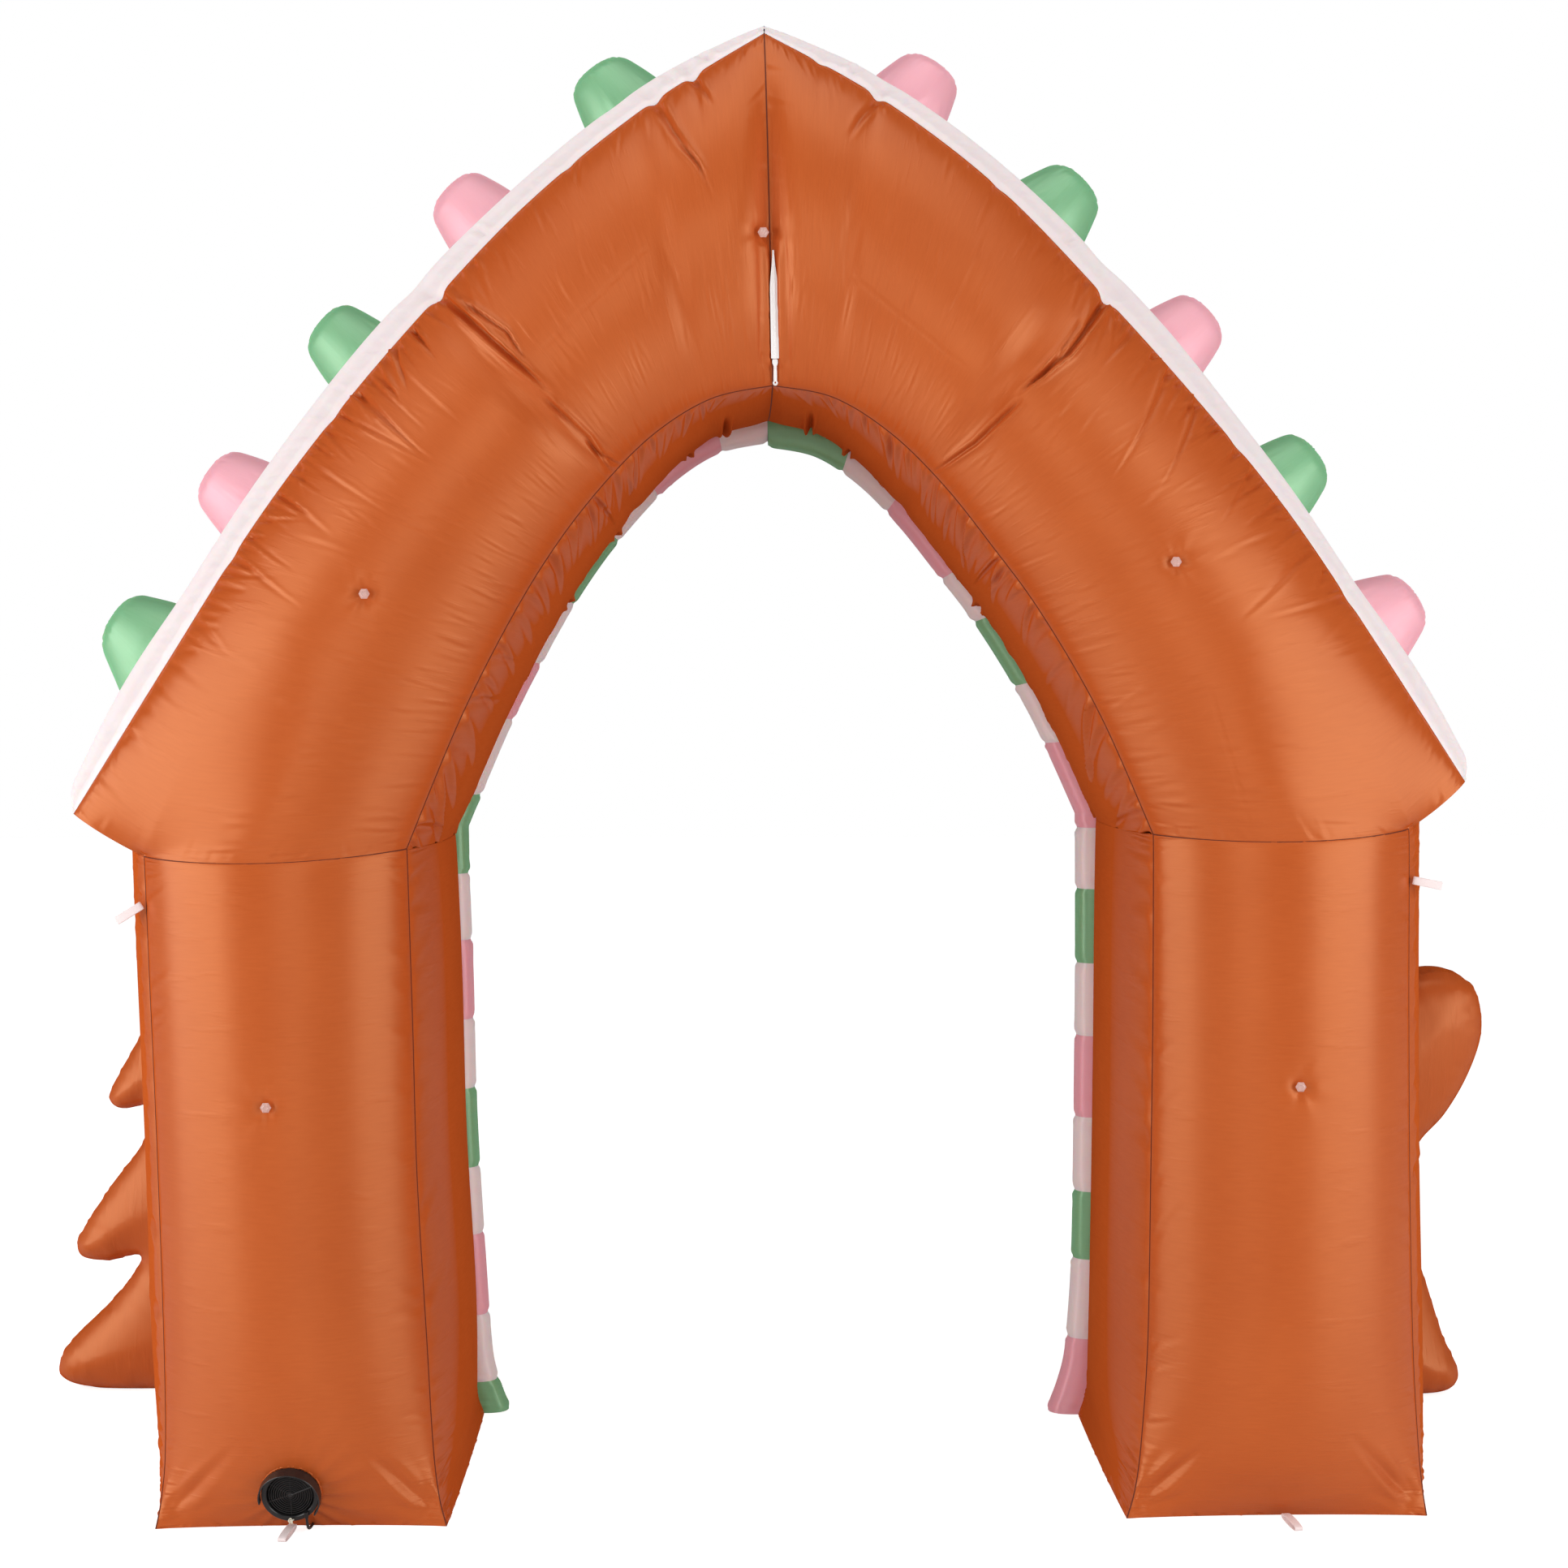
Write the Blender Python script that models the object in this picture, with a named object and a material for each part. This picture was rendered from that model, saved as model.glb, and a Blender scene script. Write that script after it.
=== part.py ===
"""Inflated gingerbread-house archway, blown up and standing on its two legs.

The rear of the arch faces -Y and its front faces +Y. Every blown-up chamber is
one filled solid whose panels crown between their seams. Metres, +Z up.
"""

import math
from collections import namedtuple

import bmesh
import bpy
from mathutils import Matrix, Vector
from mathutils.geometry import delaunay_2d_cdt

# Planes of the seams and the space left between neighbouring pieces
REAR_Y = -0.33
FRONT_Y = 0.15
GAP = 0.0003
WELD = 0.00001

# How far each panel crowns past its seams
REAR_BULGE = 0.100
FRONT_BULGE = 0.060
REVEAL_BULGE = 0.045
SIDE_BULGE = 0.060
EAVE_BULGE = 0.022
SEAM_DIP = 0.010
PEAK_PINCH = 0.34
PEAK_PINCH_WIDTH = 0.035
LEG_SEAM_PINCH = 0.13
LEG_SEAM_PINCH_WIDTH = 0.04
BAND_CREASE_SHARE = 0.6

# Fullness beside the seams: a smaller power is fuller
PANEL_POWER = 0.75
SIDE_POWER = 0.65
BAND_POWER = 0.62

# Places along the arch and up the leg where one shape starts to turn into the next
LEVEL_START = 0.80
EAVE_START = 0.84
EAVE_POWER = 2.2
LEG_TOP_START = 0.72
PEAK_UPRIGHT_END = 0.05
PEAK_REVEAL_SHARE = 0.5
PEAK_REVEAL_END = 0.45

# The candy border sewn along the front edge of the opening
TRIM_SEAT = 0.095

# Number of steps in the lofts
ARCH_STEPS = 22
LEG_STEPS = 13
REVEAL_STEPS = 5
SIDE_STEPS = 6
BAND_STEPS = 9
ACROSS_STEPS = 7
CURVE_STEPS = 24
END_STATIONS = (0.018, 0.985)
CREASE_STEP = 0.022
CLOSEST_STATIONS = 0.008
SLOPE_STEP = 0.004

# Gumdrops on the roof band
GUMDROP_SIDES = 16
GUMDROP_CLEARANCE = 0.0010
GUMDROP_FOOT_RADIUS = 0.045
GUMDROP_TIP_RISE = 0.002
GUMDROP_PROFILE = [
    # radius, height
    (0.073, 0.000),
    (0.069, 0.020),
    (0.061, 0.048),
    (0.053, 0.068),
    (0.039, 0.080),
    (0.019, 0.085),
]

# The tree and the figure that stand in front of the legs
FIGURE_Y = 0.352
FIGURE_CROWN = 0.053
FIGURE_GUSSET = 0.040
FIGURE_ROUND = 0.150
FIGURE_GRID = 0.062
FIGURE_RIM = 0.026
FIGURE_RIM_CLEAR = 0.022
FIGURE_GRID_CLEAR = 0.050
FIGURE_FOOT_HEIGHT = 0.36

# Small parts
BUTTON_RADIUS = 0.009
BUTTON_HEIGHT = 0.005
BUTTON_CLEARANCE = 0.0012
BUTTON_SIDES = 12
BUTTON_PROFILE = [
    # radius, height
    (BUTTON_RADIUS, 0.0000),
    (BUTTON_RADIUS, 0.0015),
    (0.0065, 0.0036),
    (0.0030, BUTTON_HEIGHT),
]
ZIP_WIDTH = 0.012
ZIP_TOP_Z = 1.998
ZIP_BOTTOM_Z = 1.838
ZIP_LIFT = 0.0095
ZIP_SHIFT = 0.004
ZIP_THICKNESS = 0.0015
ZIP_STEPS = 10
ZIP_TAPER_START = 0.62
ZIP_TAPER = 0.22
SLIDER_LIFT = 0.0035
SliderRow = namedtuple("SliderRow", "drop half_width thickness")
SLIDER_SECTIONS = [
    SliderRow(0.0380, 0.0025, 0.0018),
    SliderRow(0.0340, 0.0042, 0.0020),
    SliderRow(0.0140, 0.0042, 0.0020),
    SliderRow(0.0120, 0.0030, 0.0028),
    SliderRow(0.0080, 0.0046, 0.0046),
    SliderRow(0.0005, 0.0046, 0.0046),
]
LOOP_WIDTH = 0.013
LOOP_THICKNESS = 0.0016
LOOP_GAP = 0.009
LOOP_STEPS = 18
LOOP_SQUARENESS = 0.6

# The blower in the foot of the left leg, its face turned a little downwards
BLOWER_CENTRE = Vector((-0.770, -0.402, 0.068))
BLOWER_TILT = math.radians(14)
BLOWER_RADIUS = 0.0450
BLOWER_BORE = 0.0370
BLOWER_PROUD = 0.014
BLOWER_SUNK = 0.030
BLOWER_SIDES = 32
BLOWER_FLOOR = 0.012
POCKET_CLEARANCE = 0.0005
POCKET_REACH = 0.10
GRILLE_CLEARANCE = 0.0004
GRILLE_SUNK = 0.0030
GRILLE_THICKNESS = 0.0030
GRILLE_GROOVE = 0.0014
GRILLE_RIBS = 4
GRILLE_SIDES = 24
RIB_START = 0.45
RIB_WIDTH = 0.45
HOOD_RADIUS = 0.0490
HOOD_WALL = 0.0030
HOOD_REACH = 0.017
HOOD_END_SHARE = 0.55
HOOD_ROUNDNESS = 0.7
HOOD_FOOT = 0.002
HOOD_DRAFT = 0.0008
HOOD_START = math.radians(-39)
HOOD_END = math.radians(192)
HOOD_STEPS = 20
KNOT_PLACE = (0.0005, -0.0405, BLOWER_PROUD + 0.0047)
KNOT_SIZE = (0.0050, 0.0038, 0.0042)

# The lead: out of the blower, under the leg and into a coil behind it
CORD_RADIUS = 0.00225
CORD_POINT_STEP = 0.0115
GROOVE_WIDTH = 0.0100
GROOVE_HEIGHT = 0.0075
COIL_CENTRE = Vector((-0.800, 0.222, 0.0))
COIL_MID_RADIUS = 0.026
COIL_SECTION = 0.0135
COIL_SIDES = 24
COIL_SECTION_SIDES = 8
RELIEF_SIDES = 12
RELIEF_PROFILE = [
    # radius, height
    (0.0026, 0.0000),
    (0.0030, 0.0060),
    (0.0038, 0.0110),
    (0.0038, 0.0135),
]
PLUG_START = 0.0004
PLUG_SECTIONS = [
    # distance from its start, half width
    (0.000, 0.0035),
    (0.016, 0.0060),
    (0.034, 0.0072),
    (0.054, 0.0072),
]

ArchRow = namedtuple("ArchRow", "outer_x outer_z inner_x inner_z")
LegRow = namedtuple("LegRow", "height outer_x inner_x rear_y front_y rear_full side_full")
Crease = namedtuple("Crease", "along depth width")
OutlineRow = namedtuple("OutlineRow", "half_width height")
LoopRow = namedtuple("LoopRow", "name root direction width_axis length")

# Seam corners of the arch in the rear plane, from the peak down to the eave
LEFT_ARCH = [
    ArchRow(-0.026, 2.345, -0.013, 1.801),
    ArchRow(-0.210, 2.231, -0.108, 1.781),
    ArchRow(-0.390, 2.086, -0.196, 1.728),
    ArchRow(-0.545, 1.927, -0.274, 1.652),
    ArchRow(-0.688, 1.763, -0.351, 1.555),
    ArchRow(-0.823, 1.585, -0.424, 1.438),
    ArchRow(-0.960, 1.372, -0.506, 1.278),
    ArchRow(-1.113, 1.129, -0.592, 1.073),
]
RIGHT_ARCH = [
    ArchRow(-0.026, 2.345, -0.013, 1.801),
    ArchRow(0.158, 2.245, 0.082, 1.783),
    ArchRow(0.340, 2.110, 0.172, 1.728),
    ArchRow(0.510, 1.940, 0.255, 1.648),
    ArchRow(0.664, 1.772, 0.332, 1.553),
    ArchRow(0.806, 1.601, 0.412, 1.445),
    ArchRow(0.952, 1.389, 0.505, 1.288),
    ArchRow(1.092, 1.177, 0.593, 1.094),
]

# Folds pressed across the arch from the roof seam to the opening
LEFT_CREASES = [Crease(0.43, 0.10, 0.022), Crease(0.16, 0.05, 0.016)]
RIGHT_CREASES = [Crease(0.40, 0.10, 0.022), Crease(0.13, 0.05, 0.016)]

# Corner seams of the legs from the floor up to the seam below the arch
LEFT_LEG = [
    LegRow(0.000, -0.989, -0.531, -0.378, 0.157, -0.10, 0.06),
    LegRow(0.045, -0.983, -0.545, -0.362, 0.155, 0.34, 0.40),
    LegRow(0.120, -0.980, -0.556, -0.345, 0.152, 0.74, 0.78),
    LegRow(0.280, -0.983, -0.566, -0.333, 0.150, 0.98, 1.00),
    LegRow(0.550, -0.989, -0.580, -0.330, 0.150, 1.00, 1.00),
    LegRow(0.800, -0.996, -0.585, -0.330, 0.150, 0.98, 1.00),
    LegRow(0.960, -1.002, -0.590, -0.330, 0.150, 0.94, 1.00),
    LegRow(1.073, -1.004, -0.592, -0.330, 0.150, 0.87, 1.00),
]
RIGHT_LEG = [
    LegRow(0.000, 1.035, 0.552, -0.372, 0.124, -0.10, 0.06),
    LegRow(0.045, 1.031, 0.568, -0.358, 0.132, 0.34, 0.40),
    LegRow(0.120, 1.027, 0.580, -0.344, 0.140, 0.74, 0.78),
    LegRow(0.280, 1.020, 0.591, -0.333, 0.147, 0.98, 1.00),
    LegRow(0.550, 1.012, 0.594, -0.330, 0.150, 1.00, 1.00),
    LegRow(0.800, 1.007, 0.595, -0.330, 0.150, 0.98, 1.00),
    LegRow(0.980, 1.004, 0.594, -0.330, 0.150, 0.94, 1.00),
    LegRow(1.094, 1.002, 0.593, -0.330, 0.150, 0.87, 1.00),
]
LEFT_NOTCH = Vector((-1.004, 0.0, 1.062))
RIGHT_NOTCH = Vector((1.002, 0.0, 1.102))

# Section of the candy border: distance away from the opening, and out of the front
TRIM_SECTION = [
    (-0.028, 0.000),
    (-0.038, 0.020),
    (-0.034, 0.044),
    (-0.012, 0.063),
    (0.026, 0.070),
    (0.062, 0.060),
    (0.084, 0.038),
    (0.088, 0.016),
    (0.078, 0.000),
]
TRIM_FOOT_FLARE = 1.20
TRIM_FOOT_HEIGHT = 0.11
TRIM_REACH = {"left": 1.0, "right": 1.2}

# Crown of the pale roof band at even steps from the peak to the eave
BandRow = namedtuple("BandRow", "crown")
LEFT_BAND = [BandRow(crown) for crown in (
    0.047, 0.066, 0.069, 0.070, 0.076, 0.078, 0.076, 0.074, 0.074, 0.080, 0.060)]
RIGHT_BAND = [BandRow(crown) for crown in (
    0.047, 0.066, 0.071, 0.073, 0.079, 0.080, 0.072, 0.066, 0.064, 0.074, 0.060)]

# Gumdrop places along the roof seam from the peak, and their lean along it
GumdropRow = namedtuple("GumdropRow", "distance lean cloth")
LEFT_GUMDROPS = [
    GumdropRow(0.221, -3.0, "green"),
    GumdropRow(0.511, 0.0, "pink"),
    GumdropRow(0.808, 2.0, "green"),
    GumdropRow(1.101, 0.0, "pink"),
    GumdropRow(1.390, 4.0, "green"),
]
RIGHT_GUMDROPS = [
    GumdropRow(0.230, 3.0, "pink"),
    GumdropRow(0.513, 0.0, "green"),
    GumdropRow(0.809, 0.0, "pink"),
    GumdropRow(1.097, -2.0, "green"),
    GumdropRow(1.377, 1.0, "pink"),
]

# Half outline of the tree from its foot to its top
OUTLINE_STEPS = 2
TREE_CENTRE_X = -0.955
TREE_TOP = 1.004
TREE_HALF = [
    OutlineRow(0.236, 0.000),
    OutlineRow(0.340, 0.006),
    OutlineRow(0.384, 0.022),
    OutlineRow(0.391, 0.047),
    OutlineRow(0.372, 0.084),
    OutlineRow(0.295, 0.160),
    OutlineRow(0.243, 0.228),
    OutlineRow(0.240, 0.256),
    OutlineRow(0.296, 0.246),
    OutlineRow(0.342, 0.252),
    OutlineRow(0.354, 0.274),
    OutlineRow(0.344, 0.302),
    OutlineRow(0.290, 0.384),
    OutlineRow(0.238, 0.452),
    OutlineRow(0.212, 0.510),
    OutlineRow(0.218, 0.540),
    OutlineRow(0.266, 0.534),
    OutlineRow(0.288, 0.548),
    OutlineRow(0.284, 0.574),
    OutlineRow(0.232, 0.668),
    OutlineRow(0.162, 0.800),
    OutlineRow(0.096, 0.920),
    OutlineRow(0.036, 0.990),
]

# Half outline of the gingerbread figure from its foot to the top of its head
MAN_CENTRE_X = 0.967
MAN_HALF = [
    OutlineRow(0.072, 0.000),
    OutlineRow(0.175, 0.000),
    OutlineRow(0.276, 0.003),
    OutlineRow(0.310, 0.020),
    OutlineRow(0.314, 0.050),
    OutlineRow(0.292, 0.100),
    OutlineRow(0.271, 0.184),
    OutlineRow(0.244, 0.300),
    OutlineRow(0.241, 0.400),
    OutlineRow(0.264, 0.458),
    OutlineRow(0.310, 0.510),
    OutlineRow(0.351, 0.580),
    OutlineRow(0.377, 0.655),
    OutlineRow(0.376, 0.715),
    OutlineRow(0.358, 0.758),
    OutlineRow(0.312, 0.782),
    OutlineRow(0.254, 0.776),
    OutlineRow(0.191, 0.744),
    OutlineRow(0.142, 0.750),
    OutlineRow(0.150, 0.800),
    OutlineRow(0.181, 0.870),
    OutlineRow(0.181, 0.950),
    OutlineRow(0.142, 1.030),
    OutlineRow(0.072, 1.070),
]
MAN_CROTCH_HEIGHT = 0.130
MAN_CROTCH_HALF = 0.040
MAN_CROTCH_SIDE_HEIGHT = 0.075
MAN_TOP = 1.084
MAN_FOOT_BACK = 0.09

# Buttons on the rear
BUTTONS = [
    # name, place across, height
    ("button_peak", -0.029, 2.022),
    ("button_roof_left", -0.638, 1.471),
    ("button_roof_right", 0.605, 1.521),
    ("button_leg_left", -0.797, 0.681),
    ("button_leg_right", 0.808, 0.706),
]

# Tie loops: where each is sewn on, which way it points and its webbing's width runs
UPPER_LOOP_Y = REAR_Y - 0.008
FOOT_LOOP_Z = 0.0061
LOOPS = [
    LoopRow("tie_loop_upper_left", (-1.007, UPPER_LOOP_Y, 0.985), (-0.85, 0.0, -0.53),
            (-0.53, 0.0, 0.85), 0.046),
    LoopRow("tie_loop_upper_right", (1.009, UPPER_LOOP_Y, 1.020), (0.98, 0.0, -0.20),
            (0.20, 0.0, 0.98), 0.046),
    LoopRow("tie_loop_foot_left", (-0.772, -0.384, FOOT_LOOP_Z), (-0.10, -1.0, 0.0),
            (1.0, -0.10, 0.0), 0.060),
    LoopRow("tie_loop_foot_right", (0.805, -0.378, FOOT_LOOP_Z), (0.12, -1.0, 0.0),
            (1.0, 0.12, 0.0), 0.060),
]

# Route of the lead, from the strain relief to the coil
CORD_ROUTE = [
    (-0.7452, -0.4096, 0.0268),
    (-0.7450, -0.4066, 0.0180),
    (-0.7448, -0.4010, 0.0098),
    (-0.7445, -0.3925, 0.0050),
    (-0.7440, -0.3800, 0.0031),
    (-0.7430, -0.3600, 0.0030),
    (-0.7420, -0.3100, 0.0030),
    (-0.7450, -0.2000, 0.0030),
    (-0.7530, -0.0500, 0.0030),
    (-0.7500, 0.0800, 0.0030),
    (-0.7505, 0.1450, 0.0030),
    (-0.7530, 0.1720, 0.0032),
    (-0.7595, 0.1920, 0.0038),
    (-0.7686, 0.2070, 0.0045),
]

# Part of the route that runs under the leg, where the base stays clear of it
GROOVE_ROUTE = CORD_ROUTE[4:11]
GROOVE_STEP = 0.05
GROOVE_DEPTH = 0.01
GROOVE_REAR_REACH = 0.05
GROOVE_FRONT_REACH = 0.10

CLOTH = {
    # cloth or plastic: colour, roughness
    "brown": ((0.510, 0.114, 0.030, 1.0), 0.42),
    "pale": ((0.800, 0.630, 0.640, 1.0), 0.45),
    "green": ((0.150, 0.480, 0.230, 1.0), 0.42),
    "pink": ((0.910, 0.430, 0.510, 1.0), 0.42),
    "webbing": ((0.850, 0.740, 0.730, 1.0), 0.60),
    "black_plastic": ((0.012, 0.011, 0.011, 1.0), 0.38),
    "white_plastic": ((0.860, 0.850, 0.840, 1.0), 0.40),
    "clear_plastic": ((0.820, 0.560, 0.520, 1.0), 0.22),
    "string": ((0.720, 0.640, 0.500, 1.0), 0.75),
}


class Side:
    """One half of the arch with its tables."""

    def __init__(self, name, sign, arch, creases, leg, notch, band, gumdrops):
        self.name = name
        self.sign = sign
        self.arch = arch
        self.creases = creases
        self.leg = leg
        self.notch = notch
        self.band = band
        self.gumdrops = gumdrops
        tip = Vector((arch[-1].outer_x, 0.0, arch[-1].outer_z))
        inner = Vector((arch[-1].inner_x, 0.0, arch[-1].inner_z))
        self.eave_width = (notch - tip).length
        self.leg_width = (inner - notch).length
        self.notch_at = self.eave_width / (self.eave_width + self.leg_width)


LEFT = Side("left", -1.0, LEFT_ARCH, LEFT_CREASES, LEFT_LEG, LEFT_NOTCH, LEFT_BAND,
            LEFT_GUMDROPS)
RIGHT = Side("right", 1.0, RIGHT_ARCH, RIGHT_CREASES, RIGHT_LEG, RIGHT_NOTCH, RIGHT_BAND,
             RIGHT_GUMDROPS)


def smooth(value):
    """Ease from 0 to 1, clamped at both ends."""
    value = min(max(value, 0.0), 1.0)
    return value * value * (3.0 - 2.0 * value)


def mix(start, end, weight):
    """Blend two numbers."""
    return start + (end - start) * weight


def crown(across, power=PANEL_POWER):
    """Height of a blown-up panel between two seams, 0 at both and 1 between."""
    across = min(max(across, 0.0), 1.0)
    return (1.0 - (2.0 * across - 1.0) ** 2) ** power


def curve_between(before, start, end, after, local):
    """Point at 0 to 1 from start to end, on a smooth curve that knows its neighbours."""
    slope_start = 0.5 * (end - before)
    slope_end = 0.5 * (after - start)
    cubic = 2.0 * (start - end) + slope_start + slope_end
    square = -3.0 * (start - end) - 2.0 * slope_start - slope_end
    return ((cubic * local + square) * local + slope_start) * local + start


def row_at(rows, along):
    """Read a table at 0 to 1 along it, on a smooth curve through its rows."""
    last = len(rows) - 1
    place = min(max(along, 0.0), 1.0) * last
    index = min(int(place), last - 1)
    local = place - index
    nearby = [rows[min(max(index + k, 0), last)] for k in (-1, 0, 1, 2)]
    return type(nearby[0])(*(curve_between(*column, local) for column in zip(*nearby)))


def make_material(name):
    """One plain Principled material for each kind of cloth or plastic."""
    found = bpy.data.materials.get(name)
    if found:
        return found
    colour, roughness = CLOTH[name]
    material = bpy.data.materials.new(name)
    material.use_nodes = True
    shader = material.node_tree.nodes["Principled BSDF"]
    shader.inputs["Base Color"].default_value = colour
    shader.inputs["Roughness"].default_value = roughness
    shader.inputs["Metallic"].default_value = 0.0
    return material


def add_object(name, bm, cloth):
    """Turn a finished bmesh into a named, smooth-shaded object."""
    bmesh.ops.recalc_face_normals(bm, faces=bm.faces[:])
    mesh = bpy.data.meshes.new(name)
    bm.to_mesh(mesh)
    bm.free()
    mesh.shade_smooth()
    mesh.set_sharp_from_angle(angle=math.radians(40))
    mesh.materials.append(make_material(cloth))
    obj = bpy.data.objects.new(name, mesh)
    bpy.context.collection.objects.link(obj)
    return obj


def loft(bm, rings):
    """Skin closed rings of points and return the rings of vertices."""
    grid = [[bm.verts.new(point) for point in ring] for ring in rings]
    count = len(rings[0])
    for lower, upper in zip(grid, grid[1:]):
        for k in range(count):
            n = (k + 1) % count
            bm.faces.new((lower[k], lower[n], upper[n], upper[k]))
    return grid


def close_rings(bm, grid):
    """Close a skin of rings at its first and last ring."""
    bm.faces.new(grid[0])
    bm.faces.new(grid[-1])


def cap_chamber(bm, ring, across_count):
    """Close a chamber's end with strips from its rear panel to its front one."""
    rear = ring[:across_count]
    front_start = across_count + REVEAL_STEPS - 1
    front = list(reversed(ring[front_start:front_start + across_count]))
    for k in range(across_count - 1):
        bm.faces.new((rear[k], rear[k + 1], front[k + 1], front[k]))
    bm.faces.new(ring[across_count - 1:front_start + 1])
    outer = ring[front_start + across_count - 1:] + [ring[0]]
    if len(outer) > 2:
        bm.faces.new(outer)


def arch_stations(side):
    """Places along the arch: even steps, and closer ones at creases and ends."""
    places = {k / ARCH_STEPS for k in range(ARCH_STEPS + 1)}
    places |= set(END_STATIONS)
    for crease in side.creases:
        places |= {crease.along - CREASE_STEP, crease.along, crease.along + CREASE_STEP}
    kept = []
    for place in sorted(places):
        if not kept or place - kept[-1] > CLOSEST_STATIONS:
            kept.append(place)
    kept[-1] = 1.0
    return kept


def across_samples(side, width):
    """Fractions across the panels, with one at the notch and one at the border."""
    notch = side.notch_at
    seat = 1.0 - TRIM_SEAT / width
    steps = [0.0, 0.5 * notch]
    steps += [mix(notch, seat, k / ACROSS_STEPS) for k in range(ACROSS_STEPS + 1)]
    return steps + [mix(seat, 1.0, 0.5), 1.0]


def bottom_line(side, across):
    """Lower edge of the arch: eave tip, notch, then the dipping leg seam."""
    last = side.arch[-1]
    tip = Vector((last.outer_x, 0.0, last.outer_z))
    inner = Vector((last.inner_x, 0.0, last.inner_z))
    if across <= side.notch_at:
        return tip.lerp(side.notch, across / side.notch_at)
    place = (across - side.notch_at) / (1.0 - side.notch_at)
    dip = SEAM_DIP * 4.0 * place * (1.0 - place)
    return side.notch.lerp(inner, place) - Vector((0.0, 0.0, dip))


def level_weight(along):
    """How far the arch's sections have turned level, towards its lower edge."""
    return smooth((along - LEVEL_START) / (1.0 - LEVEL_START))


def eave_weight(along):
    """How far the panels have taken the shape of the arch's lower edge."""
    return smooth((along - EAVE_START) / (1.0 - EAVE_START)) ** EAVE_POWER


def leg_top_weight(along):
    """How far the leg's sections have taken the shape of the seam under the arch."""
    return smooth((along - LEG_TOP_START) / (1.0 - LEG_TOP_START))


def pinch(side, along):
    """How full the panels stand at a place along the arch."""
    full = 1.0 - PEAK_PINCH * math.exp(-(along / PEAK_PINCH_WIDTH) ** 2)
    full -= LEG_SEAM_PINCH * math.exp(-((1.0 - along) / LEG_SEAM_PINCH_WIDTH) ** 2)
    for crease in side.creases:
        full -= crease.depth * math.exp(-((along - crease.along) / crease.width) ** 2)
    return full


def rear_depth(side, along, across):
    """How far the rear panel stands out of the seam plane."""
    full = pinch(side, along)
    upper = REAR_BULGE * crown(across)
    if across <= side.notch_at:
        lower = EAVE_BULGE * crown(across / side.notch_at)
    else:
        lower = REAR_BULGE * crown((across - side.notch_at) / (1.0 - side.notch_at))
    return full * mix(upper, lower, eave_weight(along))


def front_depth(side, along, across, width):
    """How far the front panel stands out beside the candy border."""
    seat = 1.0 - TRIM_SEAT / width
    if across >= seat:
        return 0.0
    upper = FRONT_BULGE * crown(across / seat)
    if across <= side.notch_at:
        lower = EAVE_BULGE * crown(across / side.notch_at)
    else:
        lower = FRONT_BULGE * crown((across - side.notch_at) / (seat - side.notch_at))
    return pinch(side, along) * mix(upper, lower, eave_weight(along))


def arch_edges(side, along):
    """Outer seam, inner seam and the panel's width at a place along the arch."""
    row = row_at(side.arch, along)
    shift = side.sign * GAP if along == 0.0 else 0.0
    outer = Vector((row.outer_x + shift, 0.0, row.outer_z))
    inner = Vector((row.inner_x + shift, 0.0, row.inner_z))
    lower = level_weight(along)
    width = mix((inner - outer).length, side.eave_width + side.leg_width, lower)
    return outer, inner, width


def reveal_direction(side, outer, inner, along):
    """Direction in which the reveal crowns into the opening."""
    across = (inner - outer).normalized()
    level = Vector((-side.sign, 0.0, 0.0))
    return across.lerp(level, level_weight(along)).normalized()


def arch_point(side, along, across):
    """Point of the seam plane at a place along and across the arch."""
    outer, inner, _ = arch_edges(side, along)
    straight = outer.lerp(inner, across)
    last = side.arch[-1]
    tip = Vector((last.outer_x, 0.0, last.outer_z))
    foot = Vector((last.inner_x, 0.0, last.inner_z))
    bend = bottom_line(side, across) - tip.lerp(foot, across)
    return straight + bend * level_weight(along)


def arch_ring(side, along):
    """One closed section of the arch's brown chamber."""
    outer, inner, width = arch_edges(side, along)
    samples = across_samples(side, width)
    rear, front = [], []
    for across in samples:
        base = arch_point(side, along, across)
        rear.append(base + Vector((0.0, REAR_Y - rear_depth(side, along, across), 0.0)))
        front.append(base + Vector((0.0, FRONT_Y + front_depth(side, along, across, width), 0.0)))
    towards = reveal_direction(side, outer, inner, along)
    share = mix(PEAK_REVEAL_SHARE, 1.0, smooth(along / PEAK_REVEAL_END))
    bulge = REVEAL_BULGE * share * pinch(side, along)
    reveal = []
    for k in range(1, REVEAL_STEPS):
        deep = k / REVEAL_STEPS
        point = inner + towards * bulge * crown(deep)
        reveal.append(point + Vector((0.0, mix(REAR_Y, FRONT_Y, deep), 0.0)))
    return rear + reveal + front[::-1]


def build_gable(side):
    """Brown chamber from the peak down to the leg: rear, front and reveal."""
    bm = bmesh.new()
    rings = loft(bm, [arch_ring(side, along) for along in arch_stations(side)])
    across_count = len(across_samples(side, 0.5))
    cap_chamber(bm, rings[0], across_count)
    cap_chamber(bm, rings[-1], across_count)
    return add_object("gable_" + side.name, bm, "brown")


def leg_row(side, along):
    """Read the leg's table, from the floor at 0 to the arch at 1."""
    return row_at(side.leg, along)


def leg_line(side, row, place, top_weight):
    """Height of the leg's section across the panel; level but for its top seam."""
    seam = bottom_line(side, mix(side.notch_at, 1.0, place)).z - GAP
    return mix(row.height, seam, top_weight)


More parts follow.
